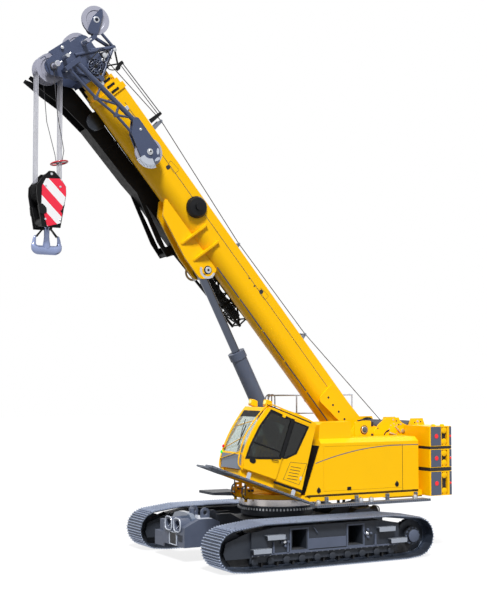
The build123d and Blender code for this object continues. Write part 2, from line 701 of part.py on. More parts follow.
# ---------------------------------------------------------------- cab
CAB_SOLE = ((93.0, 168.0), (1780.0, 130.0))  # rear and front ends of the underside
SOLE_SLOPE = (CAB_SOLE[1][1] - CAB_SOLE[0][1]) / (CAB_SOLE[1][0] - CAB_SOLE[0][0])


def cab_sole(x):
    """The height of the cab's sloping underside."""
    return CAB_SOLE[0][1] + (x - CAB_SOLE[0][0]) * SOLE_SLOPE


def cab_floor(x):
    """The height at which a piece stands on the cab's floor."""
    return cab_sole(x) + CAB_WALL + FIT


def cab_outline(inset):
    """The cab's side outline, inset by a wall: a straight back, an arched roof, a bowed front."""
    with BuildSketch() as area:
        with BuildLine():
            Line(CAB_SOLE[0], (240, 1743))
            ThreePointArc((240, 1743), (950, 1790), (1610, 1670))
            ThreePointArc((1610, 1670), (1800, 1040), (1857, 450))
            Line((1857, 450), CAB_SOLE[1])
            Line(CAB_SOLE[1], CAB_SOLE[0])
        make_face()
        if inset:
            offset(amount=-inset, kind=Kind.INTERSECTION)
    return area.sketch


def cab_solid(inset, left, width):
    """The cab's outline, inset, from y = left towards the right."""
    with BuildPart() as piece:
        with BuildSketch(cab_view(left)):
            add(cab_outline(inset))
        extrude(amount=width)
    return piece.part


# openings: outline in the cab's side view, or the strip that a front or roof window fills
REAR_QUARTER = [(417, 1600), (525, 916), (744, 729), (830, 700), (830, 1600)]
DOORWAY = [(900, 1620), (1540, 1640), (1700, 1200), (1790, 700), (1800, 420), (1720, 200), (900, 215)]
RIGHT_WINDOW = [(420, 1590), (520, 620), (1500, 520), (1770, 430), (1770, 700), (1560, 1590)]
FRONT_BAND = [(1500, 520), (2000, 480), (2000, 1560), (1500, 1560)]
ROOF_BAND = [(700, 1500), (1400, 1500), (1400, 1900), (700, 1900)]
REAR_BAND = [(0, 900), (400, 900), (400, 1560), (0, 1560)]
FRAME = 70.0
# the rails that the sliding door bears on
DOOR_TOP_RAIL = [(236, 1645), (1555, 1645), (1550, 1665), (238, 1665)]
DOOR_LOW_RAIL = [(98, 172), (1780, 160), (1784, 180), (100, 192)]

with BuildPart() as cab_shell:
    add(cab_solid(0, CAB_OUTER, CAB_OUTER - CAB_INNER))
    add(cab_solid(CAB_WALL, CAB_OUTER - CAB_WALL, CAB_OUTER - CAB_INNER - 2 * CAB_WALL), mode=Mode.SUBTRACT)
    for hole in (REAR_QUARTER, DOORWAY):
        add(plate(hole, CAB_OUTER + 1, CAB_WALL + 2, cab_view), mode=Mode.SUBTRACT)
    add(plate(RIGHT_WINDOW, CAB_INNER + CAB_WALL + 1, CAB_WALL + 2, cab_view), mode=Mode.SUBTRACT)
    for hole in (FRONT_BAND, ROOF_BAND, REAR_BAND):
        add(plate(hole, CAB_OUTER - FRAME, CAB_OUTER - CAB_INNER - 2 * FRAME, cab_view), mode=Mode.SUBTRACT)
    for rail in (DOOR_TOP_RAIL, DOOR_LOW_RAIL):
        add(plate(rail, CAB_OUTER + GAP - FIT, GAP - FIT + 1, cab_view))
save(cab_shell.part, "cab_shell")

with BuildPart() as cab_windows:
    add(plate(REAR_QUARTER, CAB_OUTER - 15, GLASS, cab_view))
    add(plate(RIGHT_WINDOW, CAB_INNER + 25, GLASS, cab_view))
    for hole in (FRONT_BAND, ROOF_BAND, REAR_BAND):
        with BuildPart(mode=Mode.PRIVATE) as pane:
            add(cab_solid(12, CAB_OUTER - FRAME, CAB_OUTER - CAB_INNER - 2 * FRAME))
            add(cab_solid(12 + GLASS, CAB_OUTER, CAB_OUTER - CAB_INNER), mode=Mode.SUBTRACT)
            add(plate(hole, CAB_OUTER, CAB_OUTER - CAB_INNER, cab_view), mode=Mode.INTERSECT)
        add(pane.part)
save(cab_windows.part, "cab_windows")

DOOR_OUTLINE = [(875, 1660), (1560, 1680), (1735, 1200), (1825, 700), (1840, 420), (1765, 160), (875, 180)]
DOOR_GLASS = [(930, 1600), (1520, 1620), (1680, 1180), (1765, 700), (1775, 420), (1459, 510), (930, 680)]
with BuildPart() as cab_door:
    add(plate(DOOR_OUTLINE, CAB_OUTER + GAP + DOOR_THICK, DOOR_THICK, cab_view))
    add(plate(DOOR_GLASS, CAB_OUTER + GAP + DOOR_THICK + 1, DOOR_THICK + 2, cab_view), mode=Mode.SUBTRACT)
save(cab_door.part, "cab_door")
with BuildPart() as cab_door_glass:
    add(plate(DOOR_GLASS, CAB_OUTER + GAP + DOOR_THICK - 12, GLASS, cab_view))
save(cab_door_glass.part, "cab_door_glass")

with BuildPart() as cab_base:
    beam = [(60, -60), (1735, -60), (1770, cab_sole(1770)), (100, cab_sole(100)), (60, 100)]
    for left in (CAB_OUTER - 60, CAB_INNER + 180):
        add(plate(beam, left, 100, cab_view))
    for x in (150, 900, 1620):
        add(plate([(x, -40), (x + 100, -40), (x + 100, 120), (x, 120)], CAB_OUTER - 70, 820, cab_view))
    add(ring((0, 0), 45, 30 + FIT, CAB_OUTER - 60 - FIT, 1080 - 140 - 2 * FIT, cab_view))
    for left in (CAB_OUTER - 60 - FIT, CAB_INNER + 180):
        add(plate([(0, -45), (120, -45), (120, 45), (0, 45)], left, 100 - FIT, cab_view))
        add(link([(0, 0, 30 + FIT)], left + 1, 102, cab_view), mode=Mode.SUBTRACT)
    for x in (250, 900, 1600):
        add(plate([(x, -50), (x + 60, -50), (x + 60, -20), (x, -20)], CAB_OUTER + 40, 120, cab_view))
save(cab_base.part, "cab_base")

with BuildPart() as cab_walkway:
    tread = [(-150, -90), (2700, -90), (2700, -50), (-150, -50)]
    add(plate(tread, WALKWAY_OUTER, WALKWAY_OUTER - CAB_OUTER - 20, cab_view))
    platform = [(1750, -60), (2380, -60), (2380, -20), (1750, -20)]
    add(plate(platform, CAB_OUTER - 20, CAB_OUTER - CAB_INNER - 60, cab_view))
    add(plate([(1760, -88), (1840, -88), (1840, -58), (1760, -58)], CAB_OUTER + 40, 120, cab_view))
save(cab_walkway.part, "cab_walkway")

with BuildPart() as cab_seat:
    add(plate([(560, 330), (1080, 330), (1080, 450), (560, 450)], 1150, 460, cab_view))
    add(plate([(480, 445), (640, 445), (560, 1150), (430, 1150)], 1140, 440, cab_view))
    add(plate([(640, cab_floor(640)), (900, cab_floor(900)), (900, 331), (640, 331)], 1080, 320, cab_view))
save(cab_seat.part, "cab_seat")
with BuildPart() as cab_console:
    add(plate([(1350, cab_floor(1350)), (1620, cab_floor(1620)), (1660, 700), (1560, 760), (1430, 600)],
              1100, 360, cab_view))
save(cab_console.part, "cab_console")

# ---------------------------------------------------------------- boom
save(boom_section(0, SECTION_REAR, SECTION_FRONT), "boom_base_section")

# the cheeks that carry the boom on its foot pin, one on each side of the base section
with BuildPart() as boom_foot:
    for sign in (1, -1):
        foot = [(0, 0, 215), (1250, 60, 120), (1250, -300, 100), (60, 150, 100)]
        add(link(foot, *across(sign, SECTION_HALF_WIDTH, SECTION_HALF_WIDTH + 35), boom_view))
        add(link([(0, 0, 160)], *across(sign, SECTION_HALF_WIDTH - 60, CHEEK_INNER - FIT), boom_view))
    add(link([(0, 0, FOOT_PIN_R + FIT)], CHEEK_INNER, 2 * CHEEK_INNER, boom_view), mode=Mode.SUBTRACT)
save(boom_foot.part, "boom_foot")

# the hoist rope's guides: distance along the boom and height of the roller
ROPE_GUIDES = ((2710.0, 214.0), (5560.0, 164.0), (SECTION_FRONT - 1150.0, 364.0))
with BuildPart() as rope_guides:
    for u, height in ROPE_GUIDES:
        low, high = SECTION_TOP, SECTION_TOP + 12
        add(plate([(u - 110, low), (u + 110, low), (u + 110, high), (u - 110, high)], 160, 320, boom_view))
        for y in (120, -100):
            post = [(u, high + height, 36), (u - 60, high + 20, 22), (u - 20, high + 20, 22)]
            add(link(post, y, 20, boom_view))
        add(link([(u, high + height, 26)], 145, 290, boom_view))
save(rope_guides.part, "rope_guides")

for number in (2, 3, 4):
    step = number - 1
    section = boom_section(step, SECTION_REAR + 60 * step, SECTION_FRONT + COLLAR * step)
    save(section, f"boom_section_{number}")

with BuildPart() as boom_section_5:
    add(section_solid(4, SECTION_REAR + 240, HEAD_BASE))
    add(section_solid(4, SECTION_REAR + 239, HEAD_BASE - 60, -SECTION_WALL), mode=Mode.SUBTRACT)
save(boom_section_5.part, "boom_section_5")

with BuildPart() as luff_bracket:
    ear = EYE_WIDTH / 2 + EAR_GAP
    keel = [(*ROD_PIN, 190), (6200, -880, 100), (7250, -720, 90), (7500, -520, 50), (5500, -560, 60)]
    for sign in (1, -1):
        add(link(keel, *across(sign, ear, ear + EAR_THICK), boom_view))
    # transverse fins, from the keel round to the boom's sides
    half_fin = [(430, -120), (395, -330), (300, -600), (190, -860)]
    fin = half_fin + [(-y, v) for y, v in reversed(half_fin)]
    for u in (5990, 6480):
        with BuildSketch(boom_across(u)):
            with BuildLine():
                Polyline(*fin, close=True)
            make_face()
            Rectangle(2 * ear, 4 * ROD_PIN[0], mode=Mode.SUBTRACT)
        extrude(amount=40)
    add(section_solid(0, 4000, 9000), mode=Mode.SUBTRACT)
    add(link([(*ROD_PIN, ROD_PIN_R)], ear + EAR_THICK + 30, 2 * (ear + EAR_THICK + 30), boom_view))
save(luff_bracket.part, "luff_bracket")

REEL_BEHIND = 1740.0  # from the folded nose's axle back to the reel's
REEL_PROFILE = [(0, 0), (260, 0), (260, 60), (215, 130), (90, 150), (90, 210), (0, 210)]  # radius, outward
with BuildPart() as cable_reel:
    base = boom_view(SECTION_HALF_WIDTH)
    centre = base.from_local_coords((NOSE_AXLE[0] - REEL_BEHIND, -70, 0))
    with BuildSketch(Plane(origin=centre, x_dir=base.x_dir, z_dir=(-base.x_dir.Z, 0, base.x_dir.X))):
        with BuildLine():
            Polyline(*REEL_PROFILE, close=True)
        make_face()
    revolve(axis=Axis(centre, (0, 1, 0)))
save(cable_reel.part, "cable_reel")

JIB_Y = (-520.0, -900.0)  # the folded jib's inner and outer faces, on the boom's right
JIB_RUN = (3850.0, 6300.0)  # its lattice part, from the tip to the box part
JIB_TOP = (-300.0, -340.0)  # heights of the lattice's chords at the tip and at the box
JIB_LOW = (-560.0, -690.0)
JIB_BAYS = 6
JIB_CHORD_R = 34
JIB_BRACE_R = 20
JIB_WALL = 14.0
JIB_BOX = [(6290, -360), (6290, -700), (7900, -700), (8330, -740), (9900, -790), (9900, -370)]
JIB_BULGE = [
    (8050, -690), (6760, -1030), (6340, -1060), (6190, -690), (6430, -690), (6560, -940), (7700, -690),
]
JIB_END_PLATE = [
    (9880, -400), (10800, -470), (11090, -560), (11320, -950), (11590, -1140), (11565, -1215), (11080, -1085),
    (10550, -905), (9880, -800),
]


def jib_point(t, y, levels):
    """A point of a chord's line: t runs 0 to 1 along the lattice."""
    along = JIB_RUN[0] + t * (JIB_RUN[1] - JIB_RUN[0])
    return place(boom_view, along, y, levels[0] + t * (levels[1] - levels[0]))


with BuildPart() as stowed_jib:
    corners = [(JIB_Y[0], JIB_TOP), (JIB_Y[1], JIB_TOP), (JIB_Y[1], JIB_LOW), (JIB_Y[0], JIB_LOW)]
    faces = list(zip(corners, corners[1:] + corners[:1]))
    for number in range(JIB_BAYS + 1):
        t = number / JIB_BAYS
        for side, ((y1, first), (y2, second)) in enumerate(faces):
            add(bar(jib_point(t, y1, first), jib_point(t, y2, second), JIB_BRACE_R))
            if number < JIB_BAYS:
                near, far = (t, t + 1 / JIB_BAYS) if (number + side) % 2 else (t + 1 / JIB_BAYS, t)
                add(bar(jib_point(near, y1, first), jib_point(far, y2, second), JIB_BRACE_R))
    for y in JIB_Y:
        for levels in (JIB_TOP, JIB_LOW):
            add(bar(jib_point(-0.015, y, levels), jib_point(1.015, y, levels), JIB_CHORD_R))
        add(plate(JIB_END_PLATE, y + 20, 30, boom_view))
        add(plate(JIB_BULGE, y + 20, 30, boom_view))
    add(plate(JIB_BOX, JIB_Y[0] + 20, JIB_Y[0] - JIB_Y[1] + 40, boom_view))
    # the box part is open at its outer end
    hollow = [(u + JIB_WALL, v + JIB_WALL if v < -500 else v - JIB_WALL) for u, v in JIB_BOX]
    width = JIB_Y[0] - JIB_Y[1] + 40 - 2 * JIB_WALL
    add(plate(hollow, JIB_Y[0] + 20 - JIB_WALL, width, boom_view), mode=Mode.SUBTRACT)
    for u, v in ((9890, -600), (11300, -1110), (6400, -1010)):
        add(bar(place(boom_view, u, JIB_Y[0], v), place(boom_view, u, JIB_Y[1], v), 40))
    # the brackets' ends stop just short of the boom's round belly
    belly = SECTION_BOTTOM + SECTION_HALF_WIDTH
    wall_y = -sqrt(SECTION_HALF_WIDTH**2 - (belly + 330 - 45) ** 2) - FIT
    for u in (4478, SECTION_FRONT - 959):
        add(bar(place(boom_view, u, wall_y, -330), place(boom_view, u, JIB_Y[0], -330), 45))
        add(bar(place(boom_view, u, JIB_Y[0] + 1, -230), place(boom_view, u, JIB_Y[0] + 1, -700), 30))
save(stowed_jib.part, "stowed_jib")

HEAD_OUTER = HEAD_INNER + HEAD_PLATE
HEAD_APEX = (HEAD_BASE + 295.0, 600.0)  # top of the tubular frame that carries the folded nose
HEAD_KNEE = (HEAD_BASE - 100.0, -165.0)  # its foot, beside the boom's end
KNEE_Y = 420.0
FORK_ROOT = (HEAD_BASE + 728.0, 396.0)  # clear of the rooster sheave's rim
with BuildPart() as boom_head:
    base = [(HEAD_BASE, 200), (HEAD_BASE + 120, 200), (HEAD_BASE + 120, -520), (HEAD_BASE, -520)]
    add(plate(base, HEAD_OUTER, 2 * HEAD_OUTER, boom_view))
    for sign in (1, -1):
        root = HEAD_BASE + 90
        cheek = [(*FRONT_AXLE, 200), (*REAR_AXLE, 190), (root, 90, 90), (root, -430, 90)]
        add(link(cheek, *across(sign, HEAD_INNER, HEAD_OUTER), boom_view))
    for axle in (FRONT_AXLE, REAR_AXLE):
        add(link([(*axle, 60 + FIT)], 400, 800, boom_view), mode=Mode.SUBTRACT)
    # the tubular frame: struts as (start, its y, end, its y, radius), alike on both sides
    struts = (
        (HEAD_APEX, 300, HEAD_KNEE, KNEE_Y, 32), (HEAD_APEX, 300, (HEAD_BASE + 660, -330), 352, 42),
        ((HEAD_BASE + 390, -145), 330, HEAD_KNEE, KNEE_Y, 30),
        ((HEAD_BASE + 360, -560), 330, HEAD_KNEE, KNEE_Y, 30),
        (HEAD_APEX, 300, (HEAD_BASE + 550, 60), 330, 38), (HEAD_APEX, 300, (HEAD_BASE + 110, 60), 330, 30),
        ((HEAD_BASE + 120, -420), 330, HEAD_KNEE, KNEE_Y, 26),
    )
    for start, start_y, end, end_y, radius in struts:
        for sign in (1, -1):
            add(bar(place(boom_view, start[0], sign * start_y, start[1]),
                    place(boom_view, end[0], sign * end_y, end[1]), radius))
    u, v = HEAD_APEX
    add(bar(place(boom_view, u, 340, v), place(boom_view, u, -340, v), 46))
    for sign in (1, -1):
        add(link([(*HEAD_KNEE, 60)], *across(sign, KNEE_Y - 38, KNEE_Y + 38), boom_view))
    # the rooster sheave's fork, its mast and its back strut
    fork = [(*ROOSTER_AXLE, 95), (*FORK_ROOT, 45), (HEAD_BASE + 1110, 900, 40)]
    mast = [(*FORK_ROOT, 45), (REAR_AXLE[0] - 30, REAR_AXLE[1] + 130, 60)]
    for left in (ROOSTER_Y + 70, ROOSTER_Y - 40):
        add(link(fork, left, 30, boom_view))
        add(link(mast, left, 30, boom_view))
    root = [place(boom_view, FORK_ROOT[0], ROOSTER_Y + y, FORK_ROOT[1]) for y in (70, 0, -70)]
    add(bar(root[0], root[2], 40))
    add(bar(root[1], place(boom_view, u, ROOSTER_Y, v), 42))
    add(bar(place(boom_view, REAR_AXLE[0] - 30, HEAD_INNER + 1, REAR_AXLE[1] + 130),
            place(boom_view, REAR_AXLE[0] - 30, ROOSTER_Y - 70, REAR_AXLE[1] + 130), 45))
    add(bar(place(boom_view, ROOSTER_AXLE[0], ROOSTER_Y + 90, ROOSTER_AXLE[1]),
            place(boom_view, ROOSTER_AXLE[0], ROOSTER_Y - 90, ROOSTER_AXLE[1]), 45))
save(boom_head.part, "boom_head")

with BuildPart() as head_sheaves:
    rope_ys = [ROPE_SPACING * (number - (ROPE_COUNT - 1) / 2) for number in range(ROPE_COUNT)]
    for y in rope_ys:
        add(sheave(FRONT_AXLE, y, boom_view, 50))
    for y in rope_ys[:2]:
        add(sheave(REAR_AXLE, y, boom_view, 50))
    for u, v in (FRONT_AXLE, REAR_AXLE):
        add(bar(place(boom_view, u, HEAD_OUTER + 40, v), place(boom_view, u, -HEAD_OUTER - 40, v), 60))
        add(bar(place(boom_view, u, HEAD_OUTER + 39, v), place(boom_view, u, NOSE_Y + 40, v), 46))
save(head_sheaves.part, "head_sheaves")

save(sheave(ROOSTER_AXLE, ROOSTER_Y, boom_view, 45 + FIT), "rooster_sheave")

# the folded nose, with distances along the boom from the head's base
NOSE_ROOT = 540.0
NOSE_LOW_RUN = ((NOSE_ROOT, -760), (-355, -645), (-920, -488), (-1490, -420))
NOSE_LACING = (
    ((-355, -645), (-220, -384)), ((-355, -645), (-780, -283)), ((-920, -488), (-780, -283)),
    ((-920, -488), (-1180, -212)),
)
NOSE_PINS = ((-1300, -190), (-1490, -420))


def nose_point(u, y, v):
    """A point of the folded nose, from the head's base."""
    return place(boom_view, HEAD_BASE + u, y, v)


with BuildPart() as folded_nose:
    inner, outer = NOSE_Y - 70, NOSE_Y + 70
    for left in (inner + 15, outer + 15):
        (u1, v1), (u2, v2) = NOSE_PINS
        flank = [(*NOSE_AXLE, 255), (HEAD_BASE + u1, v1, 85), (HEAD_BASE + u2, v2, 60)]
        add(link(flank, left, 30, boom_view))
    tubes = [((NOSE_ROOT, -520), NOSE_PINS[0], 60)]
    tubes += [(start, end, 32) for start, end in zip(NOSE_LOW_RUN, NOSE_LOW_RUN[1:])]
    tubes += [(start, end, 28) for start, end in NOSE_LACING]
    for (u1, v1), (u2, v2), radius in tubes:
        add(bar(nose_point(u1, NOSE_Y, v1), nose_point(u2, NOSE_Y, v2), radius))
    for u, v in NOSE_LOW_RUN[1:-1]:
        add(link([(HEAD_BASE + u, v, 45)], NOSE_Y + 55, 110, boom_view))
    for u, v in NOSE_PINS:
        add(bar(nose_point(u, outer, v), nose_point(u, inner, v), 40))
    hinge = [(HEAD_BASE + NOSE_ROOT + u, v) for u, v in ((-50, -400), (50, -400), (50, -850), (-50, -850))]
    add(plate(hinge, outer, 140, boom_view))
    for v in (-480, -780):
        add(bar(nose_point(NOSE_ROOT, NOSE_Y, v), nose_point(NOSE_ROOT, HEAD_OUTER, v), 50))
    u, v = NOSE_AXLE
    add(bar(place(boom_view, u, outer + 20, v), place(boom_view, u, inner - 20, v), 45))
save(folded_nose.part, "folded_nose")
save(sheave(NOSE_AXLE, NOSE_Y, boom_view, 45 + FIT), "nose_sheave")

# ---------------------------------------------------------------- luffing cylinder
rod_pin = boom_view(0).from_local_coords((*ROD_PIN, 0))
foot_pin = Vector(SLEW_X + CYLINDER_FOOT[0], 0, CYLINDER_FOOT[1])
cylinder_axis = (rod_pin - foot_pin).normalized()
cylinder_length = (rod_pin - foot_pin).length


def cylinder_view(y):
    """The luffing cylinder's side view, along it from its foot pin."""
    return Plane(origin=(foot_pin.X, y, foot_pin.Z), x_dir=cylinder_axis, z_dir=(0, -1, 0))


def cylinder_across(distance):
    """The plane across the cylinder at a distance from its foot pin."""
    return Plane(origin=cylinder_view(0).from_local_coords((distance, 0, 0)), z_dir=cylinder_axis)


def cylinder_run(start, length, radius):
    """A round length of the cylinder."""
    with BuildPart() as piece:
        with BuildSketch(cylinder_across(start)):
            Circle(radius)
        extrude(amount=length)
    return piece.part


with BuildPart() as luff_barrel:
    add(cylinder_run(250, BARREL_LENGTH - 250, BARREL_R))
    add(cylinder_run(BARREL_LENGTH - 180, 180, BARREL_R + 20))
    add(cylinder_run(320, BARREL_LENGTH - 470, BARREL_BORE_R), mode=Mode.SUBTRACT)
    add(cylinder_run(320, BARREL_LENGTH, ROD_R + FIT), mode=Mode.SUBTRACT)
    add(link([(0, 0, EYE_R), (200, 0, EYE_R)], EYE_WIDTH / 2, EYE_WIDTH, cylinder_view))
    add(plate([(150, -100), (260, -100), (260, 100), (150, 100)], EYE_WIDTH / 2, EYE_WIDTH, cylinder_view))
save(luff_barrel.part, "luff_barrel")

with BuildPart() as luff_rod:
    half = EYE_WIDTH / 2
    add(cylinder_run(cylinder_length - ROD_LENGTH, ROD_LENGTH - 60, ROD_R))
    add(link([(cylinder_length, 0, EYE_R), (cylinder_length - 120, 0, 100)], half, EYE_WIDTH, cylinder_view))
    bore = [(cylinder_length, 0, ROD_PIN_R + FIT)]
    add(link(bore, half + 1, EYE_WIDTH + 2, cylinder_view), mode=Mode.SUBTRACT)
save(luff_rod.part, "luff_rod")

# ---------------------------------------------------------------- hook
head_axle = boom_view(0).from_local_coords((*FRONT_AXLE, 0))
hook_x = head_axle.X - SLEW_X
BLOCK_AXLE_Z = head_axle.Z - HOIST_DROP
HOOK_BOTTOM = BLOCK_AXLE_Z - HOOK_DROP

with BuildPart() as hoist_falls:
    front, rear = hook_x + SHEAVE_PITCH_R, hook_x - SHEAVE_PITCH_R
    top, low = head_axle.Z, BLOCK_AXLE_Z
    for y in rope_ys:
        with BuildLine(side_view(y)) as route:
            Line((front, low), (front, top))
            ThreePointArc((front, top), (hook_x, top + SHEAVE_PITCH_R), (rear, top))
            Line((rear, top), (rear, low))
            ThreePointArc((rear, low), (hook_x, low - SHEAVE_PITCH_R), (front, low))
        with BuildSketch(Plane(origin=place(side_view, front, y, low), z_dir=(0, 0, 1))):
            Circle(ROPE_R)
        sweep(path=route.wires()[0])
save(hoist_falls.part, "hoist_falls")

COVER_THICK = 14.0
# the striped cover's outline, from the block's axle
COVER = [(135, 245), (-200, 262), (-325, 90), (-332, -80), (-205, -735), (98, -820), (233, -320), (223, 75)]
CORE = [
    (-60, 420), (60, 420), (205, 275), (335, 95), (342, -90), (215, -835), (-215, -835), (-342, -90),
    (-335, 95), (-205, 275),
]
with BuildPart() as hook_block:
    for y in rope_ys:
        add(sheave((hook_x, BLOCK_AXLE_Z), y, side_view, 50))
    add(link([(hook_x, BLOCK_AXLE_Z, 60)], BLOCK_HALF_WIDTH, 2 * BLOCK_HALF_WIDTH))
    core = [(hook_x + x, BLOCK_AXLE_Z + z) for x, z in CORE]
    for sign in (1, -1):
        add(plate(core, *across(sign, BLOCK_HALF_WIDTH - 40, BLOCK_HALF_WIDTH)))
        # ballast between the sheaves and the cheek
        ballast = ((-280, -350), (280, -350), (190, -800), (-190, -800))
        belly = [(hook_x + x, BLOCK_AXLE_Z + z) for x, z in ballast]
        add(plate(belly, *across(sign, ROPE_SPACING * ROPE_COUNT / 2, BLOCK_HALF_WIDTH - 39)))
    trunnion = [(hook_x + x, BLOCK_AXLE_Z - 690, 90) for x in (-120, 120)]
    add(link(trunnion, BLOCK_HALF_WIDTH - 1, 2 * BLOCK_HALF_WIDTH - 2))
    add(link([(hook_x, BLOCK_AXLE_Z + 370, 45)], BLOCK_HALF_WIDTH - 1, 2 * BLOCK_HALF_WIDTH - 2))
save(hook_block.part, "hook_block")

with BuildPart() as block_covers:
    cover = [(hook_x + x, BLOCK_AXLE_Z + z) for x, z in COVER]
    for sign in (1, -1):
        add(plate(cover, *across(sign, BLOCK_HALF_WIDTH, BLOCK_HALF_WIDTH + COVER_THICK)))
save(block_covers.part, "block_covers")

HORN_X = 185.0  # the middles of the hook's round ends, and their radius
HORN_R = 165.0
THROAT_X = 160.0
THROAT_R = 92.0
THROAT_Z = 300.0  # above the bottom of the hook
with BuildPart() as ramshorn_hook:
    with BuildSketch(side_view(65)):
        with Locations((hook_x + HORN_X, HOOK_BOTTOM + HORN_R), (hook_x - HORN_X, HOOK_BOTTOM + HORN_R)):
            Circle(HORN_R)
        make_hull()
        for sign in (1, -1):
            with BuildSketch(mode=Mode.PRIVATE) as horn:
                for x, z, radius in ((HORN_X + 105, 240, 60), (HORN_X + 78, 400, 32)):
                    with Locations((hook_x + sign * x, HOOK_BOTTOM + z)):
                        Circle(radius)
                make_hull()
            add(horn.sketch)
        with Locations((hook_x, HOOK_BOTTOM + 280)):
            Rectangle(140, 160)
        for sign in (1, -1):
            with Locations((hook_x + sign * THROAT_X, HOOK_BOTTOM + THROAT_Z)):
                Circle(THROAT_R, mode=Mode.SUBTRACT)
    extrude(amount=130)
    shank_top = BLOCK_AXLE_Z - 780 - FIT
    add(bar((head_axle.X, 0, HOOK_BOTTOM + 210), (head_axle.X, 0, shank_top), 62))
save(ramshorn_hook.part, "ramshorn_hook")

LIMIT_RING_R = 190.0
LIMIT_RING_THICK = 16.0
LIMIT_NORMAL = Vector(0.168, -0.091, 0.982).normalized()  # the ring hangs a little askew
LIMIT_UP = 670.0  # above the block's axle
with BuildPart() as limit_weight:
    middle = Vector(head_axle.X - SHEAVE_PITCH_R, 0, BLOCK_AXLE_Z + LIMIT_UP)
    edge = (Vector(0, 1, 0) - LIMIT_NORMAL * LIMIT_NORMAL.Y).normalized() * LIMIT_RING_R
    seam = edge + LIMIT_NORMAL.cross(edge)
    with Locations(Plane(origin=middle, x_dir=seam, z_dir=LIMIT_NORMAL)):
        Torus(LIMIT_RING_R, LIMIT_RING_THICK)
    for sign in (1, -1):
        add(ring(FRONT_AXLE, 85, 60 + FIT, *across(sign, HEAD_OUTER + FIT, HEAD_OUTER + 30), boom_view))
        route = (Vector(head_axle.X, sign * (HEAD_OUTER + 18), head_axle.Z - 75),
                 Vector(head_axle.X - 100, sign * (HEAD_OUTER + 22), head_axle.Z - 1100),
                 middle + Vector(0, sign * 290, 230), middle + edge * sign)
        for start, end in zip(route, route[1:]):
            add(bar(start, end, 8))
            with Locations(end):
                Sphere(9)
save(limit_weight.part, "limit_weight")
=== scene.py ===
"""A telescopic-boom crawler crane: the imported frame, dressed with paint, trim, ropes and lamps."""

import logging
import math
from dataclasses import dataclass, field
from enum import Enum

import bpy
import numpy as np
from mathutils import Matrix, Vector


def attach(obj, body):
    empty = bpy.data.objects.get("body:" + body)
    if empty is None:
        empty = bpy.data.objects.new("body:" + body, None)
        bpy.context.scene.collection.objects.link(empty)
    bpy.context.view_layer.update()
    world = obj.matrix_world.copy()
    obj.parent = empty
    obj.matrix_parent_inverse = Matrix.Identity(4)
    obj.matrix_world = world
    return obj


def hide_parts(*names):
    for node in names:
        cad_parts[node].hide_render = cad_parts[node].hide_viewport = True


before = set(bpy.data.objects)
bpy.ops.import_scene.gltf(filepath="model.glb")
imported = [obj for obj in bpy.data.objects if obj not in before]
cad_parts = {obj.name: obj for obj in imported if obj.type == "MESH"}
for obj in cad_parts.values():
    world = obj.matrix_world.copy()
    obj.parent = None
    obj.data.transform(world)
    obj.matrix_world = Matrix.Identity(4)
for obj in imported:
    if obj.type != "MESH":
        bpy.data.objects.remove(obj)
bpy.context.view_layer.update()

LOG = logging.getLogger("crane")
Array = np.ndarray
Vec3 = tuple[float, float, float]
Outline = list[tuple[float, float]]

SLEW_X = -1.125  # the slewing axis, metres along the frame's X
MM = 0.001
SIDES = (1, -1)  # the machine's left and right, as signs of Y
ACROSS: Vec3 = (0, 1, 0)
UPRIGHT: Vec3 = (0, 0, 1)
SUNK = 0.001  # how far a piece reaches into the face it sits on
GLUED = 0.0003  # the same for films and thin sheets
FILM = 0.0015  # thickness of a painted mark or a film
FILM_EDGE = 0.0004  # bevel of such a piece
TINY = 1e-12  # keeps a division by a length off zero


# ---- views
@dataclass(frozen=True)
class View:
    """A side view of one sub-assembly, turned with it about the Y axis."""

    origin: Vec3
    turn: float  # degrees that its along direction rises from +X

    def place(self, along: Array | float, y: Array | float, up: Array | float) -> Array:
        """Carries drawing coordinates into the frame.

        Args:
            along: distance along the view.
            y: the frame's Y, the drawing's depth.
            up: distance across the view.

        Returns:
            An array of points, one row each: origin + along * (cos t, 0, sin t)
            + up * (-sin t, 0, cos t) + y * Y.
        """
        along, y, up = np.broadcast_arrays(*(np.asarray(v, float) for v in (along, y, up)))
        c, s = math.cos(math.radians(self.turn)), math.sin(math.radians(self.turn))
        return np.stack(
            [self.origin[0] + along * c - up * s, self.origin[1] + y, self.origin[2] + along * s + up * c], -1
        )


SIDE = View((SLEW_X, 0.0, 0.0), 0.0)
BOOM = View((SLEW_X - 2.142, 0.0, 2.932), 50.0)
CAB = View((SLEW_X + 0.15, 0.0, 1.43), 20.0)
PLAN = View((0.0, 0.0, 0.0), 0.0)  # a piece drawn at the origin and carried to its place after


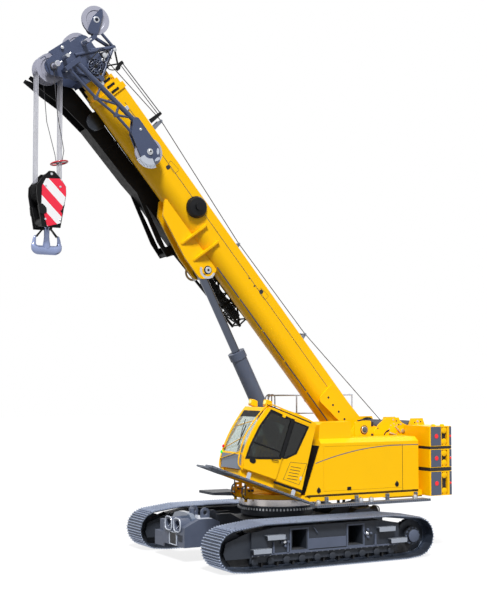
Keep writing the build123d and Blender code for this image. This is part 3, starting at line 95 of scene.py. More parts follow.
# ---- shapes
@dataclass
class Shape:
    """Points and faces of a surface: quads as one array, other faces as lists."""

    points: Array
    quads: Array
    caps: list[tuple[int, ...]] = field(default_factory=list)

    @staticmethod
    def join(shapes: list["Shape"]) -> "Shape":
        """One shape that holds all the given ones."""
        starts = np.cumsum([0] + [len(s.points) for s in shapes[:-1]])
        return Shape(
            np.concatenate([s.points for s in shapes]),
            np.concatenate([s.quads + at for s, at in zip(shapes, starts)]),
            [tuple(int(i + at) for i in cap) for s, at in zip(shapes, starts) for cap in s.caps],
        )

    def repeat(self, turns: Array, shifts: Array) -> "Shape":
        """Copies of the shape, each turned and shifted.

        Args:
            turns: (k, 3, 3) rotations, one per copy.
            shifts: (k, 3) shifts, one per copy.

        Returns:
            All the copies as one shape: turn @ point + shift.
        """
        count, size = len(turns), len(self.points)
        points = np.einsum("kij,nj->kni", turns, self.points) + shifts[:, None, :]
        starts = np.arange(count) * size
        quads = self.quads[None] + starts[:, None, None]
        caps = [tuple(int(i + at) for i in cap) for at in starts for cap in self.caps]
        return Shape(points.reshape(-1, 3), quads.reshape(-1, 4), caps)

    def at(self, places: Array) -> "Shape":
        """Copies of the shape, shifted to each place and not turned."""
        places = np.atleast_2d(places)
        return self.repeat(np.broadcast_to(np.eye(3), (len(places), 3, 3)), places)


def rings_to_shape(rings: Array, closed: bool = False, capped: bool = True) -> Shape:
    """Joins equal rings of points into a skin.

    Args:
        rings: (k, n, 3) points; each ring runs anticlockwise round the direction of travel.
        closed: whether the last ring joins the first.
        capped: whether the first and last rings are filled.

    Returns:
        The skin, its faces outwards.
    """
    count, size = rings.shape[:2]
    i, j = np.meshgrid(np.arange(count if closed else count - 1), np.arange(size), indexing="ij")
    nxt, turn = (i + 1) % count, (j + 1) % size
    quads = np.stack([i * size + j, i * size + turn, nxt * size + turn, nxt * size + j], -1).reshape(-1, 4)
    caps = []
    if capped and not closed:
        caps = [tuple(range(size - 1, -1, -1)), tuple(range((count - 1) * size, count * size))]
    return Shape(rings.reshape(-1, 3), quads, caps)


def inset_outline(outline: Array, amount: float) -> Array:
    """Moves each side of an anticlockwise outline inwards.

    Args:
        outline: (n, 2) corners.
        amount: how far, outwards where it is negative.

    Returns:
        The corners moved along the sum of their sides' normals, limited at sharp ones.
    """
    ahead = np.roll(outline, -1, 0) - outline
    ahead /= np.linalg.norm(ahead, axis=1, keepdims=True) + TINY
    normal = np.stack([-ahead[:, 1], ahead[:, 0]], -1)
    before = np.roll(normal, 1, 0)
    both = normal + before
    stretch = 2.0 / np.maximum((both**2).sum(1), 0.6)
    return outline + amount * both * stretch[:, None]


def slab(outline: Outline | Array, near: float, far: float, view: View = SIDE, bevel: float = 0.003) -> Shape:
    """A flat plate with small bevels round both faces.

    Args:
        outline: corners in the view.
        near: one face's Y.
        far: the other face's Y.
        view: the view that the outline is drawn in.
        bevel: how far the faces stand in from the outline.

    Returns:
        Four rings: face, outline, outline, face.
    """
    area = np.asarray(outline, float)
    x, z = area.T
    if np.sum(x * np.roll(z, -1) - np.roll(x, -1) * z) < 0:
        area = area[::-1]
    low, high = min(near, far), max(near, far)
    bevel = min(bevel, (high - low) / 2.5)
    inner = inset_outline(area, bevel)
    levels = ((inner, high), (area, high - bevel), (area, low + bevel), (inner, low))
    rings = np.stack([view.place(ring[:, 0], y, ring[:, 1]) for ring, y in levels])
    return rings_to_shape(rings)


def rounded(outline: Outline, radius: float, steps: int = 3) -> Array:
    """An outline with soft corners.

    Args:
        outline: the corners.
        radius: how far from a corner its curve starts.
        steps: points on each curve.

    Returns:
        Each corner cut to a parabola: (1-t)^2 a + 2t(1-t) corner + t^2 b.
    """
    corners = np.asarray(outline, float)
    back, ahead = np.roll(corners, 1, 0) - corners, np.roll(corners, -1, 0) - corners
    reach_back = np.minimum(radius / np.linalg.norm(back, axis=1), 0.49)[:, None]
    reach_ahead = np.minimum(radius / np.linalg.norm(ahead, axis=1), 0.49)[:, None]
    a, b = corners + back * reach_back, corners + ahead * reach_ahead
    t = np.linspace(0, 1, steps)[None, :, None]
    return ((1 - t) ** 2 * a[:, None] + 2 * t * (1 - t) * corners[:, None] + t**2 * b[:, None]).reshape(-1, 2)


def box(x0: float, x1: float, z0: float, z1: float) -> Outline:
    """The corners of a rectangle in a view."""
    return [(x0, z0), (x1, z0), (x1, z1), (x0, z1)]


def disc(x: float, z: float, radius: float) -> Array:
    """A circle's points in a view: centre + radius * (cos a, sin a)."""
    a = np.arange(24) * 2 * math.pi / 24
    return np.stack([x + radius * np.cos(a), z + radius * np.sin(a)], -1)


def around(count: int, radius: float, axis: Vec3 = ACROSS) -> Array:
    """Shifts to evenly spaced places on a circle.

    Args:
        count: number of places.
        radius: the circle's radius.
        axis: ACROSS for a circle that faces sideways, UPRIGHT for one that lies flat.

    Returns:
        (count, 3) shifts: radius * (cos a, 0, sin a), or radius * (cos a, sin a, 0).
    """
    a = np.arange(count) * 2 * math.pi / count
    level, other = radius * np.cos(a), radius * np.sin(a)
    nothing = np.zeros(count)
    return np.stack([level, nothing, other] if axis == ACROSS else [level, other, nothing], -1)


def along_x(places: Array | list[float]) -> Array:
    """Shifts by the given distances along X."""
    return np.stack([places, np.zeros(len(places)), np.zeros(len(places))], -1)


def oval(x: float, z: float, wide: float, high: float, lean: float = 0.0) -> Array:
    """An ellipse's points in a view.

    Args:
        x: its centre along the view.
        z: its centre up the view.
        wide: half its width.
        high: half its height.
        lean: degrees that its width is turned.

    Returns:
        Centre + wide * cos a along the leaning width + high * sin a across it.
    """
    a = np.arange(20) * 2 * math.pi / 20
    c, s = math.cos(math.radians(lean)), math.sin(math.radians(lean))
    run, rise = wide * np.cos(a), high * np.sin(a)
    return np.stack([x + run * c - rise * s, z + run * s + rise * c], -1)


def sector(x: float, z: float, outer: float, inner: float, start: float, stop: float, count: int) -> Array:
    """A part of a ring in a view.

    Args:
        x: the ring's centre along the view.
        z: the ring's centre up the view.
        outer: its outer radius.
        inner: its inner radius.
        start: the angle that it starts at, degrees.
        stop: the angle that it ends at, degrees.
        count: points on each arc.

    Returns:
        The outer arc's points and then the inner arc's, back to the start.
    """
    turn = np.radians(np.linspace(start, stop, count))
    arcs = ((outer, turn), (inner, turn[::-1]))
    return np.concatenate([np.stack([x + r * np.cos(a), z + r * np.sin(a)], -1) for r, a in arcs])


def tube(path: Array | list[Vec3], radius: float | Array, sides: int = 8, closed: bool = False) -> Shape:
    """A round bar, hose or rope along a path.

    Args:
        path: points, one row each.
        radius: the bar's radius, or one for each point.
        sides: points round it.
        closed: whether the path is a loop.

    Returns:
        Rings path + radius * (cos a * normal + sin a * binormal) in planes across the path.
    """
    path = np.asarray(path, float)
    run = np.roll(path, -1, 0) - np.roll(path, 1, 0) if closed else np.gradient(path, axis=0)
    run /= np.linalg.norm(run, axis=1, keepdims=True) + TINY
    reach = np.ptp(path, axis=0)
    aside = np.eye(3)[int(np.argmin(reach))]
    normal = aside - run * (run @ aside)[:, None]
    normal /= np.linalg.norm(normal, axis=1, keepdims=True) + TINY
    binormal = np.cross(run, normal)
    a = np.arange(sides) * 2 * math.pi / sides
    thick = np.broadcast_to(radius, len(path))[:, None, None]
    rings = path[:, None] + thick * (
        np.cos(a)[None, :, None] * normal[:, None] + np.sin(a)[None, :, None] * binormal[:, None]
    )
    return rings_to_shape(rings, closed)


def bent(points: list[Vec3] | Array, radius: float, steps: int = 5) -> Array:
    """A bent tube's path.

    Args:
        points: its corners.
        radius: how far from a corner its bend starts.
        steps: points on each bend.

    Returns:
        The corners' ends and, between them, a parabola at each inner corner.
    """
    corners = np.asarray(points, float)
    if len(corners) < 3:
        return corners
    inner, back, ahead = corners[1:-1], corners[:-2] - corners[1:-1], corners[2:] - corners[1:-1]
    a = inner + back * np.minimum(radius / np.linalg.norm(back, axis=1), 0.49)[:, None]
    b = inner + ahead * np.minimum(radius / np.linalg.norm(ahead, axis=1), 0.49)[:, None]
    t = np.linspace(0, 1, steps)[None, :, None]
    curve = ((1 - t) ** 2 * a[:, None] + 2 * t * (1 - t) * inner[:, None] + t**2 * b[:, None]).reshape(-1, 3)
    return np.concatenate([corners[:1], curve, corners[-1:]])


def turned(profile: Outline, centre: Vec3 | Array, axis: Vec3 = ACROSS, count: int = 28) -> Shape:
    """A turned piece.

    Args:
        profile: (radius, along) pairs from one end to the other.
        centre: the point that along is measured from.
        axis: the turning axis.
        count: points round each ring.

    Returns:
        Rings centre + along * axis + radius * (cos a * u + sin a * v), both ends filled.
    """
    axis = np.asarray(axis, float) / np.linalg.norm(axis)
    u = np.cross(axis, np.eye(3)[int(np.argmin(np.abs(axis)))])
    u /= np.linalg.norm(u)
    v = np.cross(axis, u)
    r, along = np.asarray(profile, float).T
    if along[-1] < along[0]:
        r, along = r[::-1], along[::-1]
    a = np.arange(count) * 2 * math.pi / count
    around = np.cos(a)[:, None] * u + np.sin(a)[:, None] * v
    rings = np.asarray(centre, float) + along[:, None, None] * axis + r[:, None, None] * around
    return rings_to_shape(rings)


def collar(view: View, along: float, up: float, near: float, far: float, radius: float) -> Shape:
    """A round pin or collar across a view, its outer rim rounded off.

    Args:
        view: the view that it stands in.
        along: its centre along the view.
        up: its centre up the view.
        near: Y of its foot.
        far: Y of its outer end.
        radius: its radius.

    Returns:
        The turned pin.
    """
    reach = far - near
    profile = [(radius, 0), (radius, reach * 0.8), (radius * 0.86, reach)]
    return turned(profile, view.place(along, near, up), ACROSS, 24)


def bolt(radius: float, height: float, centre: Vec3 | Array, axis: Vec3 = ACROSS) -> Shape:
    """A hexagon bolt head on its washer.

    Args:
        radius: the head's radius over its corners.
        height: how far it stands out.
        centre: the point that it stands on.
        axis: the direction that it stands out in.

    Returns:
        Washer and head as one shape.
    """
    washer = turned([(radius * 1.5, 0), (radius * 1.5, height * 0.2), (radius * 1.2, height * 0.25)], centre,
                    axis, 12)
    head = turned([(radius, height * 0.25), (radius, height * 0.9), (radius * 0.86, height)], centre, axis, 6)
    return Shape.join([washer, head])


# ---- finishes
def linear(colour: str) -> tuple[float, float, float, float]:
    """Turns an sRGB hex colour into the linear values that a shader takes."""
    values = (int(colour[i : i + 2], 16) / 255 for i in (1, 3, 5))
    return (*(v / 12.92 if v <= 0.04045 else ((v + 0.055) / 1.055) ** 2.4 for v in values), 1.0)


def add_node(tree: bpy.types.NodeTree, kind: str, values: dict | None = None,
             **settings: object) -> bpy.types.Node:
    """Adds one node.

    Args:
        tree: the material's node tree.
        kind: the node's type, without its "ShaderNode" start.
        values: input name or number to a value or to the socket that feeds it.
        settings: the node's own properties.

    Returns:
        The new node.
    """
    node = tree.nodes.new("ShaderNode" + kind)
    for key, value in settings.items():
        setattr(node, key, value)
    for key, value in (values or {}).items():
        if isinstance(value, bpy.types.NodeSocket):
            tree.links.new(value, node.inputs[key])
        else:
            node.inputs[key].default_value = value
    return node


# sizes of the patterns that every finish shares, in waves per metre
DRIFT_SCALE = 1.7  # the colour's drift, about a metre across
DUST_SCALE = 9.0  # patches of dust, a hand's width
CHIP_SCALE = 22.0  # chips along an edge, 45 mm and finer
EDGE_RADIUS = 5 * MM  # how far from an edge wear reaches
BUMP_HEIGHT = 2 * MM
GLASS_IOR = 1.45


class Wear(Enum):
    """How strongly a finish's edge colour shows along its edges: bare or dark metal where it wears, and on
    the head's and the shoes' finishes also a painted highlight. The strength of the edge mask.
    """

    NONE = 0.0
    LIGHT = 0.35
    WORKED = 0.8


@dataclass(frozen=True)
class Finish:
    """A surface finish: its colour, how it was made and how it wears."""

    name: str
    colour: str
    roughness: float
    slot: str = ""  # a material slot's name, which this script does not read
    metallic: float = 0.0
    ior: float = 1.5
    coat: float = 0.0
    shine: float = 0.5  # specular level: 0.5 is plain varnish, less is dusty or oxidised
    edge: str = "#8A8D90"
    wear: Wear = Wear.LIGHT
    dust: str = "#8C8578"
    dusting: float = 0.12
    mottle: float = 0.08  # how far the colour drifts over a hand's width to a metre
    grain: float = 900.0  # bumps per metre
    bump: float = 0.03

    def pattern(self, tree: bpy.types.NodeTree, where: bpy.types.NodeSocket) -> bpy.types.NodeSocket | None:
        """The colour that lies under dust and wear, where it isn't even; None where it is."""
        return None

    def tune(self, shader: bpy.types.Node) -> None:
        """Sets the shader's sockets that only some finishes use."""

    def material(self) -> bpy.types.Material:
        """Builds the node tree once and returns the material."""
        known = bpy.data.materials.get(self.name)
        if known:
            return known
        made = bpy.data.materials.new(self.name)
        made.use_nodes = True
        tree = made.node_tree
        tree.nodes.clear()
        where = add_node(tree, "TexCoord").outputs["Object"]
        # colour drift, as paint and castings have
        drift = add_node(tree, "TexNoise",
                         {"Vector": where, "Scale": DRIFT_SCALE, "Detail": 5.0, "Roughness": 0.6})
        base = self.pattern(tree, where) or linear(self.colour)
        shade = tuple(v * (1 - 2.5 * self.mottle) for v in linear(self.colour)[:3]) + (1.0,)
        amount = add_node(tree, "MapRange",
                          {"Value": drift.outputs["Fac"], "From Min": 0.42, "From Max": 0.72, "To Max": 0.5
                           if self.mottle else 0.0})
        mixed = add_node(tree, "Mix", {0: amount.outputs[0], 6: base, 7: shade}, data_type="RGBA")
        # dust lies where faces look up, in patches
        geometry = add_node(tree, "NewGeometry")
        up = add_node(tree, "SeparateXYZ", {0: geometry.outputs["Normal"]})
        patch = add_node(tree, "TexNoise",
                         {"Vector": where, "Scale": DUST_SCALE, "Detail": 6.0, "Roughness": 0.7})
        facing = add_node(tree, "MapRange", {"Value": up.outputs["Z"], "From Min": 0.2, "From Max": 1.0,
                                             "To Max": self.dusting})
        dusty = add_node(tree, "Math", {0: facing.outputs[0], 1: patch.outputs["Fac"]}, operation="MULTIPLY")
        mixed = add_node(tree, "Mix", {0: dusty.outputs[0], 6: mixed.outputs[2], 7: linear(self.dust)},
                         data_type="RGBA")
        if self.wear is not Wear.NONE:
            # an edge is where the rounded normal leaves the face's own
            soft = add_node(tree, "Bevel", {"Radius": EDGE_RADIUS}, samples=4)
            same = add_node(tree, "VectorMath", {0: soft.outputs[0], 1: geometry.outputs["Normal"]},
                            operation="DOT_PRODUCT")
            rim = add_node(tree, "MapRange",
                           {"Value": same.outputs["Value"], "From Min": 0.99, "From Max": 0.9,
                            "To Max": self.wear.value})
            chips = add_node(tree, "TexNoise",
                             {"Vector": where, "Scale": CHIP_SCALE, "Detail": 7.0, "Roughness": 0.75})
            chip = add_node(tree, "MapRange",
                            {"Value": chips.outputs["Fac"], "From Min": 0.47, "From Max": 0.62})
            worn = add_node(tree, "Math", {0: rim.outputs[0], 1: chip.outputs[0]}, operation="MULTIPLY")
            mixed = add_node(tree, "Mix", {0: worn.outputs[0], 6: mixed.outputs[2], 7: linear(self.edge)},
                             data_type="RGBA")
        gloss = add_node(tree, "MapRange",
                         {"Value": patch.outputs["Fac"], "From Min": 0.3, "From Max": 0.7,
                          "To Min": self.roughness * 0.8, "To Max": min(1.0, self.roughness * 1.3)})
        fine = add_node(tree, "TexNoise", {"Vector": where, "Scale": self.grain, "Detail": 2.0})
        bumps = add_node(tree, "Bump",
                         {"Strength": self.bump, "Distance": BUMP_HEIGHT, "Height": fine.outputs["Fac"]})
        shader = add_node(tree, "BsdfPrincipled", {
            "Base Color": mixed.outputs[2], "Roughness": gloss.outputs[0], "Metallic": self.metallic,
            "IOR": self.ior, "Coat Weight": self.coat, "Coat Roughness": 0.06, "Normal": bumps.outputs[0],
            "Specular IOR Level": self.shine,
        })
        self.tune(shader)
        add_node(tree, "OutputMaterial", {"Surface": shader.outputs[0]})
        return made


@dataclass(frozen=True)
class Stripes(Finish):
    """Painted warning bands, slanting across a plate that faces sideways."""

    second: str = "#F4F4F6"
    width: float = 0.2675  # one band's height, metres
    lean: float = 1.0  # rise of a band per metre along

    def pattern(self, tree: bpy.types.NodeTree, where: bpy.types.NodeSocket) -> bpy.types.NodeSocket | None:
        """Bands of z - lean * x, alternately one colour and the other.

        Args:
            tree: the material's node tree.
            where: the object coordinates.

        Returns:
            The colour's socket.
        """
        axes = add_node(tree, "SeparateXYZ", {0: where})
        slant = add_node(tree, "Math", {0: axes.outputs["X"], 1: -self.lean, 2: axes.outputs["Z"]},
                         operation="MULTIPLY_ADD")
        count = add_node(tree, "Math", {0: slant.outputs[0], 1: 0.5 / self.width}, operation="MULTIPLY")
        part = add_node(tree, "Math", {0: count.outputs[0]}, operation="FRACT")
        second = add_node(tree, "Math", {0: part.outputs[0], 1: 0.5}, operation="GREATER_THAN")
        mix = add_node(tree, "Mix", {0: second.outputs[0], 6: linear(self.colour), 7: linear(self.second)},
                       data_type="RGBA")
        return mix.outputs[2]


@dataclass(frozen=True)
class Perforated(Finish):
    """Punched tread plate: dark round holes in rows."""

    pitch: float = 0.045  # between holes, metres

    def pattern(self, tree: bpy.types.NodeTree, where: bpy.types.NodeSocket) -> bpy.types.NodeSocket | None:
        """Holes where the distance to the nearest cell centre is small.

        Args:
            tree: the material's node tree.
            where: the object coordinates.

        Returns:
            The colour's socket.
        """
        cells = add_node(tree, "TexVoronoi", {"Vector": where, "Scale": 1 / self.pitch, "Randomness": 0.0})
        hole = add_node(tree, "Math", {0: cells.outputs["Distance"], 1: 0.27}, operation="LESS_THAN")
        mix = add_node(tree, "Mix", {0: hole.outputs[0], 6: linear(self.colour), 7: linear("#15171A")},
                       data_type="RGBA")
        return mix.outputs[2]


@dataclass(frozen=True)
class Woven(Finish):
    """Seat cloth: a plain weave of thick yarn, drawn at 4 mm so that it shows."""

    yarn: float = 0.004

    def pattern(self, tree: bpy.types.NodeTree, where: bpy.types.NodeSocket) -> bpy.types.NodeSocket | None:
        """Light and dark yarns that cross.

        Args:
            tree: the material's node tree.
            where: the object coordinates.

        Returns:
            The colour's socket.
        """
        warp = add_node(tree, "TexWave", {"Vector": where, "Scale": 0.16 / self.yarn, "Distortion": 0.4})
        weft = add_node(tree, "TexWave", {"Vector": where, "Scale": 0.16 / self.yarn}, bands_direction="Z")
        cross = add_node(tree, "Math", {0: warp.outputs["Fac"], 1: weft.outputs["Fac"]}, operation="MULTIPLY")
        mix = add_node(tree, "Mix", {0: cross.outputs[0], 6: linear(self.colour), 7: linear("#3A3C42")},
                       data_type="RGBA")
        return mix.outputs[2]

    def tune(self, shader: bpy.types.Node) -> None:
        """Cloth has a soft sheen at grazing angles."""
        shader.inputs["Sheen Weight"].default_value = 0.4
        shader.inputs["Sheen Roughness"].default_value = 0.5


@dataclass(frozen=True)
class Glazing(Finish):
    """Tinted safety glass: light passes and bends a little, and dirt dulls it in patches."""

    def tune(self, shader: bpy.types.Node) -> None:
        """Glass lets light through."""
        shader.inputs["Transmission Weight"].default_value = 0.92


@dataclass(frozen=True)
class Lens(Finish):
    """A lamp's or reflector's moulded cover with a painted glow: its emission stands for the light that its
    prisms throw back.
    """

    painted_glow: float = 0.5

    def tune(self, shader: bpy.types.Node) -> None:
        """Emission paints the prisms' returned light on, whatever light falls on them."""
        shader.inputs["Emission Color"].default_value = linear(self.colour)
        shader.inputs["Emission Strength"].default_value = self.painted_glow


# satin slate paint of head and nose, bluer and fresher than the undercarriage's; its pale edge colour, laid
# on every edge by the wear mask, is a painted highlight
HEAD_SLATE = Finish("slate_head_paint", "#434D68", 0.36, slot="dark_paint", shine=0.4, edge="#A9B3C6",
                    wear=Wear.WORKED, mottle=0.1, grain=420, bump=0.04)
# rolled ribs of the shoes, polished by the ground, and painted pale blue-grey as a highlight along their
# crowns
HIGHLIT_RIB_STEEL = Finish("shoe_ribs_painted_highlight", "#A2AEC6", 0.3, slot="track_steel", metallic=0.6, edge="#D0D6DE",
                   dust="#6E6A62", dusting=0.15, mottle=0.12, grain=260, bump=0.08)
# two-pack gloss enamel, sprayed on primed plate: even, slightly wavy, chips at edges to grey primer
YELLOW = Finish("yellow_enamel", "#FEC200", 0.34, slot="yellow_paint", shine=0.22, edge="#C79A22",
                dusting=0.03, mottle=0.02, grain=300, bump=0.012)
# satin undercarriage paint over castings and plate, blue grey
SLATE = Finish("slate_undercarriage_paint", "#535B6E", 0.42, slot="dark_paint", shine=0.35, edge="#8B93A0",
               wear=Wear.WORKED, mottle=0.12, grain=420, bump=0.05)
# the same paint on the side frames, where track grease and dirt darken it
GREASED = Finish("greased_frame_paint", "#2C313A", 0.48, slot="dark_paint", shine=0.3, edge="#6C737E",
                 wear=Wear.WORKED, dusting=0.2, mottle=0.14, grain=420, bump=0.06)
# satin black paint of jib, cheeks and brackets
BLACK = Finish("black_satin_paint", "#0E0E10", 0.45, slot="black_paint", shine=0.15, edge="#34363C",
               dusting=0.05, mottle=0.1, grain=500, bump=0.04)
# cast and rolled shoe steel, polished by the ground; its dark colour is painted shade between the ribs, and
# its pale edge colour a painted highlight as well as wear
SHOE_STEEL = Finish("rolled_shoe_steel", "#454E5E", 0.38, slot="track_steel", metallic=0.65, edge="#B6BDC6",
                    wear=Wear.WORKED, dust="#6E6A62", dusting=0.25, mottle=0.16, grain=260, bump=0.12)
# machined and oiled slewing ring
BEARING_STEEL = Finish("machined_bearing_steel", "#B9B4B2", 0.22, metallic=1.0, wear=Wear.NONE, mottle=0.05,
                       grain=1200, bump=0.02)
DARK_STEEL = Finish("oiled_dark_steel", "#3B3F47", 0.35, slot="bare_steel", metallic=0.8, edge="#AEB3BA",
                    wear=Wear.WORKED, mottle=0.1)
# hard chrome on the rod, its colour darkened as a painted reflection of dark surroundings: near mirror with
# fine grinding marks
CHROME = Finish("hard_chrome", "#585D69", 0.16, metallic=1.0, wear=Wear.NONE, mottle=0.02, bump=0.005)
ZINC = Finish("zinc_plated_steel", "#C6C9CE", 0.3, slot="bare_steel", metallic=0.9, edge="#E4E6E8",
              mottle=0.06)
GUIDE_STEEL = Finish("dulled_zinc_brackets", "#7F8693", 0.4, metallic=0.6, edge="#D5D9DE", wear=Wear.WORKED,
                     mottle=0.12)
# galvanised six-strand rope, grey with grease in its lays
ROPE = Finish("galvanised_wire_rope", "#B9BAC4", 0.45, metallic=0.5, wear=Wear.NONE, mottle=0.1, grain=400,
              bump=0.3)
DARK_ROPE = Finish("greased_wire_rope", "#4A4A50", 0.5, slot="rope_steel", metallic=0.4, wear=Wear.NONE,
                   mottle=0.1, grain=400, bump=0.3)
# cast polyamide sheaves: lavender grey, waxy
POLYAMIDE = Finish("cast_polyamide", "#A9AABA", 0.35, ior=1.53, edge="#C9C9D6", mottle=0.05, grain=500,
                   bump=0.02)
# moulded black plastic and rubber
MOULDED = Finish("moulded_black_plastic", "#0E0F12", 0.45, slot="cab_plastic", shine=0.2, wear=Wear.NONE,
                 dusting=0.03, mottle=0.06, grain=700, bump=0.12)
RUBBER = Finish("extruded_rubber", "#121317", 0.6, slot="black_paint", wear=Wear.NONE, mottle=0.05, grain=500,
                bump=0.15)
GREY_PAINT = Finish("light_grey_enamel", "#BAC1CE", 0.35, slot="grey_paint", coat=0.2, wear=Wear.NONE,
                    dusting=0.04, mottle=0.04)
PANEL_GREY = Finish("slate_panel_film", "#4A5265", 0.4, slot="grey_paint", wear=Wear.NONE, mottle=0.03)
STRIPE_BLUE = Finish("blue_grey_film", "#4A5873", 0.35, slot="grey_paint", wear=Wear.NONE, mottle=0.02)
TREAD = Perforated("punched_tread_plate", "#9BA2AE", 0.4, slot="mesh_grey", metallic=0.5, edge="#D0D3D8",
                   wear=Wear.WORKED, mottle=0.08)
WALK_TREAD = Perforated("punched_walkway_plate", "#6C7380", 0.42, metallic=0.3, edge="#A6ACB5",
                        wear=Wear.WORKED, mottle=0.08, pitch=0.06)
WARNING = Stripes("red_and_white_bands", "#F0304A", 0.35, shine=0.3, edge="#9EA0A4", mottle=0.0)
# silver forging paint; the blue in its colour is a painted reflection of blue sky
HOOK_PAINT = Finish("silver_forging_paint_blue_reflection", "#929FC6", 0.24, slot="hook_steel", metallic=0.55, coat=0.3,
                    edge="#C8CDD6", mottle=0.1)
CLOTH = Woven("woven_seat_cloth", "#1E1F24", 0.85, slot="seat_fabric", wear=Wear.NONE, mottle=0.05)
TINTED = Glazing("tinted_safety_glass", "#2F3734", 0.03, slot="glass", ior=GLASS_IOR, wear=Wear.NONE,
                 dusting=0.0, mottle=0.0, bump=0.0)
CLEAR = Glazing("clear_safety_glass", "#DCE4E0", 0.03, ior=GLASS_IOR, wear=Wear.NONE, dusting=0.0, mottle=0.0,
                bump=0.0)
RED_LENS = Lens("red_prism_lens", "#E01020", 0.15, slot="red_plastic", wear=Wear.NONE, painted_glow=0.35)
GREEN_LENS = Lens("green_lamp_lens", "#20E040", 0.15, slot="glass", wear=Wear.NONE, painted_glow=0.6)
LAMP_LENS = Lens("clear_lamp_lens", "#F2DC7A", 0.1, slot="glass", wear=Wear.NONE, painted_glow=0.35)
# glossy enamel on the ring of the hoist limit weight
LIMITER = Finish("red_enamel", "#C4102A", 0.35, slot="red_plastic", coat=0.3, edge="#8D9095", mottle=0.03)
# deep gloss film on the cab's lower front panel
PANEL_BLUE = Finish("blue_grey_gloss_panel", "#5C6A80", 0.12, slot="dark_paint", coat=0.6, wear=Wear.NONE,
                    mottle=0.03, bump=0.0)

# the finish of each CAD node that shows
DRESS: dict[Finish, str] = {
    YELLOW: "left_hood right_hood left_service_door right_service_door turntable lower_counterweight "
            "middle_counterweight upper_counterweight cab_shell cab_base cab_door boom_base_section "
            "luff_bracket boom_foot boom_section_2 boom_section_3 boom_section_4 boom_section_5",
    SLATE: "front_weight rear_weight luff_barrel",
    HEAD_SLATE: "boom_head folded_nose",
    GREASED: "left_side_frame right_side_frame left_rollers right_rollers left_idler right_idler "
             "left_sprocket right_sprocket car_body",
    BLACK: "stowed_jib engine main_winch auxiliary_winch hydraulic_tank hook_block",
    SHOE_STEEL: "left_track right_track",
    DARK_STEEL: "slewing_ring",
    BEARING_STEEL: "turntable_ring",
    CHROME: "luff_rod",
    GREY_PAINT: "guard_rails",
    WALK_TREAD: "walkways cab_walkway",
    GUIDE_STEEL: "rope_guides",
    TINTED: "cab_door_glass",
    CLEAR: "cab_windows",
    MOULDED: "cab_console cable_reel",
    CLOTH: "cab_seat",
    POLYAMIDE: "head_sheaves rooster_sheave nose_sheave",
    ROPE: "hoist_falls",
    DARK_ROPE: "limit_weight",
    WARNING: "block_covers",
    HOOK_PAINT: "ramshorn_hook",
}


def dress_nodes() -> None:
    """Gives every CAD node its finish."""
    for finish, names in DRESS.items():
        for name in names.split():
            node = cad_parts[name]
            node.data.materials.clear()
            node.data.materials.append(finish.material())
            LOG.info("dressed %s in %s", name, finish.name)


def add_piece(name: str, shapes: Shape | list[Shape], finish: Finish, body: str,
              sharp: float = 35.0) -> bpy.types.Object:
    """Makes a new piece that rides on a CAD body.

    Args:
        name: the piece's name.
        shapes: its shape or shapes.
        finish: its finish.
        body: the CAD body it moves with.
        sharp: edges that turn more than this many degrees stay crisp.

    Returns:
        The new object, at the origin.
    """
    shape = Shape.join(shapes) if isinstance(shapes, list) else shapes
    mesh = bpy.data.meshes.new(name)
    mesh.from_pydata(shape.points.tolist(), [], shape.quads.tolist() + [list(cap) for cap in shape.caps])
    mesh.polygons.foreach_set("use_smooth", np.ones(len(mesh.polygons), bool))
    mesh.update()
    mesh.set_sharp_from_angle(angle=math.radians(sharp))
    mesh.materials.append(finish.material())
    piece = bpy.data.objects.new(name, mesh)
    bpy.context.scene.collection.objects.link(piece)
    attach(piece, body)
    LOG.info("piece %s: %d faces on %s", name, len(mesh.polygons), body)
    return piece


def frame_band(outline: Outline | Array, width: float, near: float, far: float, view: View = SIDE) -> Shape:
    """A flat frame round an outline.

    Args:
        outline: its outer edge in the view.
        width: how wide the frame is.
        near: one face's Y.
        far: the other face's Y.
        view: the view that the outline is drawn in.

    Returns:
        Four rings, outside and inside of both faces, joined in a loop.
    """
    area = np.asarray(outline, float)
    x, z = area.T
    if np.sum(x * np.roll(z, -1) - np.roll(x, -1) * z) < 0:
        area = area[::-1]
    inner = inset_outline(area, width)
    low, high = min(near, far), max(near, far)
    rings = np.stack([view.place(ring[:, 0], y, ring[:, 1])
                      for ring, y in ((area, high), (area, low), (inner, low), (inner, high))])
    return rings_to_shape(rings, closed=True)


def band(upper: Array, lower: Array, near: float, far: float) -> Shape:
    """A thin strip between two curves of equal length, both (n, 2) in the side view."""
    return slab(np.concatenate([lower, upper[::-1]]), near, far, bevel=FILM_EDGE)


